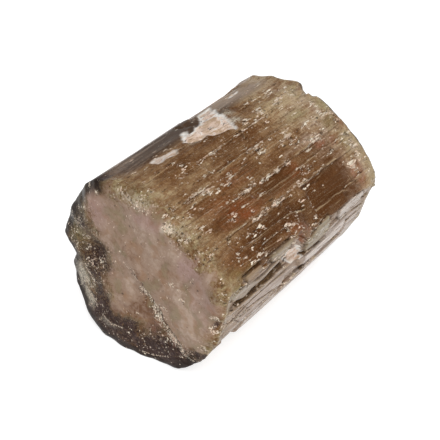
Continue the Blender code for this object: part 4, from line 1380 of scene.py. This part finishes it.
# Painted shade on the shaded side of the rim and near the foot, mottled and tinted mauve, darkest at the lip.
mottled = total(sway(clouds, 0.45), ramp(mottles, 0.35, 0.65, 0.5, -0.8))
darkness = times(mask("dark"), total(mottled, 1.35))
colour = mix(ramp(darkness, 0.1, 0.9, 0.0, 0.96), colour, DARK_AND_SHADE_BROWN)
colour = lay(colour, DARK_AND_SHADE_MAUVE, "dark", coarse, 0.46, 0.62, 0.0, 0.35)
colour = mix(times(mask("green"), mask("dark"), ramp(grain, 0.45, 0.6, 0.0, 0.7)), colour, GREEN)
# White patches, mostly painted glossy highlights.
colour = lay(colour, GLOSS_WHITE, "white", mottles, 0.4, 0.56, 0.05)
colour = lay(colour, LIP_SHADE, "lip", clouds, 0.35, 0.6, 1.0, 0.75)
# The smooth band's painted reflection, grey and streaked.
band_tone = total(mask("tone"), sway(streaks, 0.25), sway(grain, 0.2))
band_reflection_colour = mix(ramp(band_tone, 0.45, 0.95), BAND_REFLECTION_GREY, BAND_REFLECTION_PALE)
colour = lay(colour, band_reflection_colour, "band", clouds, 0.3, 0.7, 0.6)
report()

# %% Chips with painted highlights on their rims, and seams and gashes with painted shade
CHIP_TAN, CHIP_PINK, CHIP_WHITE = srgb(206, 176, 146), srgb(246, 220, 202), srgb(255, 252, 246)
SEAM_SHADE, GASH_SHADE_BROWN, GASH_SHADE_DARK = srgb(74, 56, 40), srgb(92, 68, 42), srgb(46, 28, 14)

chip_colour = mix(ramp(layers, 0.38, 0.5), CHIP_TAN, CHIP_PINK)
chip_colour = mix(ramp(layers, 0.53, 0.6, 0.0, 0.9), chip_colour, CHIP_WHITE)
chip_colour = mix(ramp(mottles, 0.44, 0.36, 0.0, 0.6), chip_colour, RED_BROWN)
# A painted white highlight along the rim of each pale chip.
chip_colour = lay(chip_colour, CHIP_WHITE, "rim", grain, 0.3, 0.5, 0.5)
colour = lay(colour, chip_colour, "pale", clouds, 0.25, 0.45, 0.75)
# Seams round the sheets are darkened with painted shade, as in a gap.
colour = lay(colour, SEAM_SHADE, "seam", grain, 0.35, 0.6, 0.35, 0.9)
# Gashes and the flat end's crack are darkened with painted shade, streaked brown and tan; the rough end's
# cracks take the same colour.
gash_shade_colour = mix(times(ramp(hairs, 0.42, 0.55), mask("side")), GASH_SHADE_DARK, GASH_SHADE_BROWN)
gash_shade_colour = mix(times(ramp(grain, 0.52, 0.62), mask("side"), 0.6), gash_shade_colour, TAN)
gash_share = total(mask("gash"), sway(grain, 0.25))
colour = mix(ramp(gash_share, 0.25, 0.7, 0.0, 0.95), colour, gash_shade_colour)
report()

# %% [markdown]
# ### Sparkle
#
# Hundreds of tiny glints are painted into the colour as cream specks, with dark pinpricks of painted
# shade beside them. They crowd along ridge lines, the crack and the worn edges. Irregular cells make
# them: each cell has a random number, and shows if that is below the sparkle mask. The cells are bent
# out of shape by noise and drawn out along the crystal, so that none of them is a round dot, and another
# random number makes most of them fainter. The nicks are broken up in the same way.

# %% Painted glints as cream specks, and dark specks of painted shade
GLINT_CREAM, GLINT_ROSE, PIT_SHADE = srgb(255, 245, 224), srgb(238, 206, 182), srgb(40, 26, 18)


def specks(stretch, scale, density, reach):
    """A speck in each cell whose random number is below the density, and the cell's random colour."""
    bend = add("ShaderNodeVectorMath", {0: bends, "Scale": 2.4 / scale}, operation="SCALE")
    bent_place = add("ShaderNodeVectorMath", {0: stretched(stretch), 1: bend}, operation="ADD")
    cell_colour = cells(bent_place, scale, "Color")
    chance = add("ShaderNodeSeparateColor", {"Color": cell_colour}, "Red")
    strength = add("ShaderNodeSeparateColor", {"Color": cell_colour}, "Blue")
    chosen = ramp(maths("SUBTRACT", density, chance), 0.0, 0.02)
    near_middle = ramp(cells(bent_place, scale, "Distance"), reach, reach * 0.8)
    return times(chosen, near_middle, ramp(strength, 0.1, 0.8, 0.4, 1.0)), cell_colour


bends = add("ShaderNodeTexNoise", {"Vector": stretched(1.6), "Scale": 3.6, "Detail": 2.0}, "Color")
crowds = ramp(noise(stretched(1.6), 0.9, 2.0, 0.5), 0.42, 0.66, 0.05, 2.0)
density = times(mask("sparkle"), crowds)
fine_glint_share = times(density, 0.45, ramp(mask("dark"), 0.0, 1.0, 1.0, 0.2))
pin_share = total(times(density, 0.7), times(mask("nick"), 0.4))
large, _ = specks(3.0, 3.2, times(density, mask("side"), 0.36), 0.56)
small, speck_colour = specks(3.6, 5.0, times(density, 0.64), 0.66)
fine_glints, _ = specks(2.0, 7.4, fine_glint_share, 0.66)
pins, _ = specks(3.2, 4.2, pin_share, 0.66)
report()

# %% Nicks, and the specks' colours
shards = noise(stretched(1.7), 6.0, 2.0, 0.6)
nick = ramp(total(mask("nick"), ramp(shards, 0.35, 0.65, -0.95, 0.3)), 0.5, 0.65)
fine_glint_or_nick = maths("MAXIMUM", times(fine_glints, 0.8), nick)
glint_specks = maths("MAXIMUM", maths("MAXIMUM", large, small), fine_glint_or_nick)
speck_tint = add("ShaderNodeSeparateColor", {"Color": speck_colour}, "Green")
glint_share = times(glint_specks, ramp(mask("border"), 0.0, 1.0, 1.0, 0.8))
# Dark pinpricks of painted shade, then the cream and rose of painted glints over them.
colour = mix(times(pins, 0.75), colour, PIT_SHADE)
colour = mix(glint_share, colour, mix(speck_tint, GLINT_CREAM, GLINT_ROSE))
feed(shader.inputs["Base Color"], colour)
report()

# %% [markdown]
# ### Gloss, relief and depth
#
# Growth faces are glossy, the heart and the chips are duller. The bump adds what is finer than the
# mesh, and each speck is tilted its own way, so that some of them flash. Transmission, index of
# refraction and absorption are plain constants.

# %% Roughness and bump
roughness = total(
    ramp(grain, 0.3, 0.7, 0.16, 0.34),
    times(mask("heart"), 0.2),
    times(mask("pale"), 0.25),
    times(mask("gash"), 0.25),
    times(mask("dark"), 0.3),
    times(mask("band"), 0.15),
    times(mask("side_sheen"), -0.1),
)
feed(shader.inputs["Roughness"], ramp(roughness, 0.0, 1.0))

long_relief = total(streaks, times(hairs, 0.4), times(highlight_lines, 0.3))
relief = total(
    times(long_relief, mask("side"), liveliness),
    times(shade_lines, -0.4),
    times(clouds, 0.5, liveliness),
    times(glint_specks, 0.5),
    times(pins, -0.6),
)
bumped = add("ShaderNodeBump", {"Height": relief, "Strength": 0.7, "Distance": 0.1 * MM}, "Normal")
tilt = add("ShaderNodeVectorMath", {0: speck_colour, 1: (-0.5, -0.5, -0.5)}, operation="ADD")
tilt_size = total(times(glint_specks, 0.7), times(density, 0.2), times(mask("pale"), 0.3))
tilt = add("ShaderNodeVectorMath", {0: tilt, "Scale": tilt_size}, operation="SCALE")
tilted = add("ShaderNodeVectorMath", {0: bumped, 1: tilt}, operation="ADD")
tilted = add("ShaderNodeVectorMath", {0: tilted}, operation="NORMALIZE")
feed(shader.inputs["Normal"], tilted)
report()

# %% What light does inside
shader.inputs["IOR"].default_value = 1.63
shader.inputs["Specular IOR Level"].default_value = 0.04
shader.inputs["Specular Tint"].default_value = srgb(206, 176, 140)
shader.inputs["Transmission Weight"].default_value = 0.25
absorption = add("ShaderNodeVolumeAbsorption", {"Color": srgb(196, 150, 104), "Density": 1100.0})
output = next(node for node in nodes if node.type == "OUTPUT_MATERIAL")
feed(output.inputs["Volume"], absorption)
mesh.materials.append(material)
report()

# %% [markdown]
# ## Floor, light and camera
#
# The crystal was photographed on white, from above and from its flat end's side, under soft light with
# hardly a shadow. The floor is a sheet that glows a little, as a light table does, so that shadows stay
# faint. A soft main light comes from the right of the flat end, and a small one from behind makes the
# tiny chips flash. The camera stands at the photograph's angle: 51 degrees to the left of straight on,
# and 37 degrees up.

# %% The floor
FLOOR_HALF = 1.5  # metres

floor_mesh = bpy.data.meshes.new("floor")
corner_signs = ((-1, -1), (1, -1), (1, 1), (-1, 1))
floor_corners = [(sign_x * FLOOR_HALF, sign_y * FLOOR_HALF, 0) for sign_x, sign_y in corner_signs]
floor_mesh.from_pydata(floor_corners, [], [(0, 1, 2, 3)])
floor = bpy.data.objects.new("floor", floor_mesh)
bpy.context.scene.collection.objects.link(floor)
paper = bpy.data.materials.new("white_paper")
paper.use_nodes = True
paper_shader = paper.node_tree.nodes["Principled BSDF"]
paper_shader.inputs["Base Color"].default_value = (0.45, 0.45, 0.45, 1.0)
paper_shader.inputs["Roughness"].default_value = 0.9
paper_shader.inputs["Emission Color"].default_value = (1.0, 1.0, 1.0, 1.0)
paper_shader.inputs["Emission Strength"].default_value = 0.72
floor_mesh.materials.append(paper)
print("floor", 2 * FLOOR_HALF, "m wide")

# %% Sky and lamps
world = bpy.data.worlds.new("studio")
bpy.context.scene.world = world
world.use_nodes = True
world.node_tree.nodes["Background"].inputs["Color"].default_value = (1.0, 1.0, 1.0, 1.0)
world.node_tree.nodes["Background"].inputs["Strength"].default_value = 0.3


def add_sun(name, towards, strength, softness):
    """A lamp far away in this direction, as wide as this many degrees."""
    lamp = bpy.data.objects.new(name, bpy.data.lights.new(name, "SUN"))
    lamp.data.energy = strength
    lamp.data.angle = np.radians(softness)
    lamp.rotation_euler = Vector(towards).to_track_quat("Z", "Y").to_euler()
    bpy.context.scene.collection.objects.link(lamp)


add_sun("main light", (-0.35, -0.45, 0.85), 2.8, 40.0)
add_sun("back light", (0.9, 0.1, 0.45), 0.5, 12.0)

# %% The camera
AZIMUTH, ELEVATION = np.radians(-50.9), np.radians(37.0)
DISTANCE = 0.1708
LENS = 114.5
LOOK_AT = Vector(((15.0 + shift[0]) * MM, shift[1] * MM, 12.4 * MM))

level = np.cos(ELEVATION)
backward = Vector((np.sin(AZIMUTH) * level, -np.cos(AZIMUTH) * level, np.sin(ELEVATION)))
camera = bpy.data.objects.new("camera", bpy.data.cameras.new("camera"))
camera.data.lens = LENS
camera.data.sensor_width = 36.0
camera.data.clip_start = 0.001
facing = backward.to_track_quat("Z", "Y").to_matrix().to_4x4()
camera.matrix_world = Matrix.Translation(LOOK_AT + backward * DISTANCE) @ facing
bpy.context.scene.collection.objects.link(camera)
bpy.context.scene.camera = camera
bpy.context.scene.view_settings.view_transform = "Standard"
print("camera at", [round(v, 4) for v in camera.matrix_world.translation])
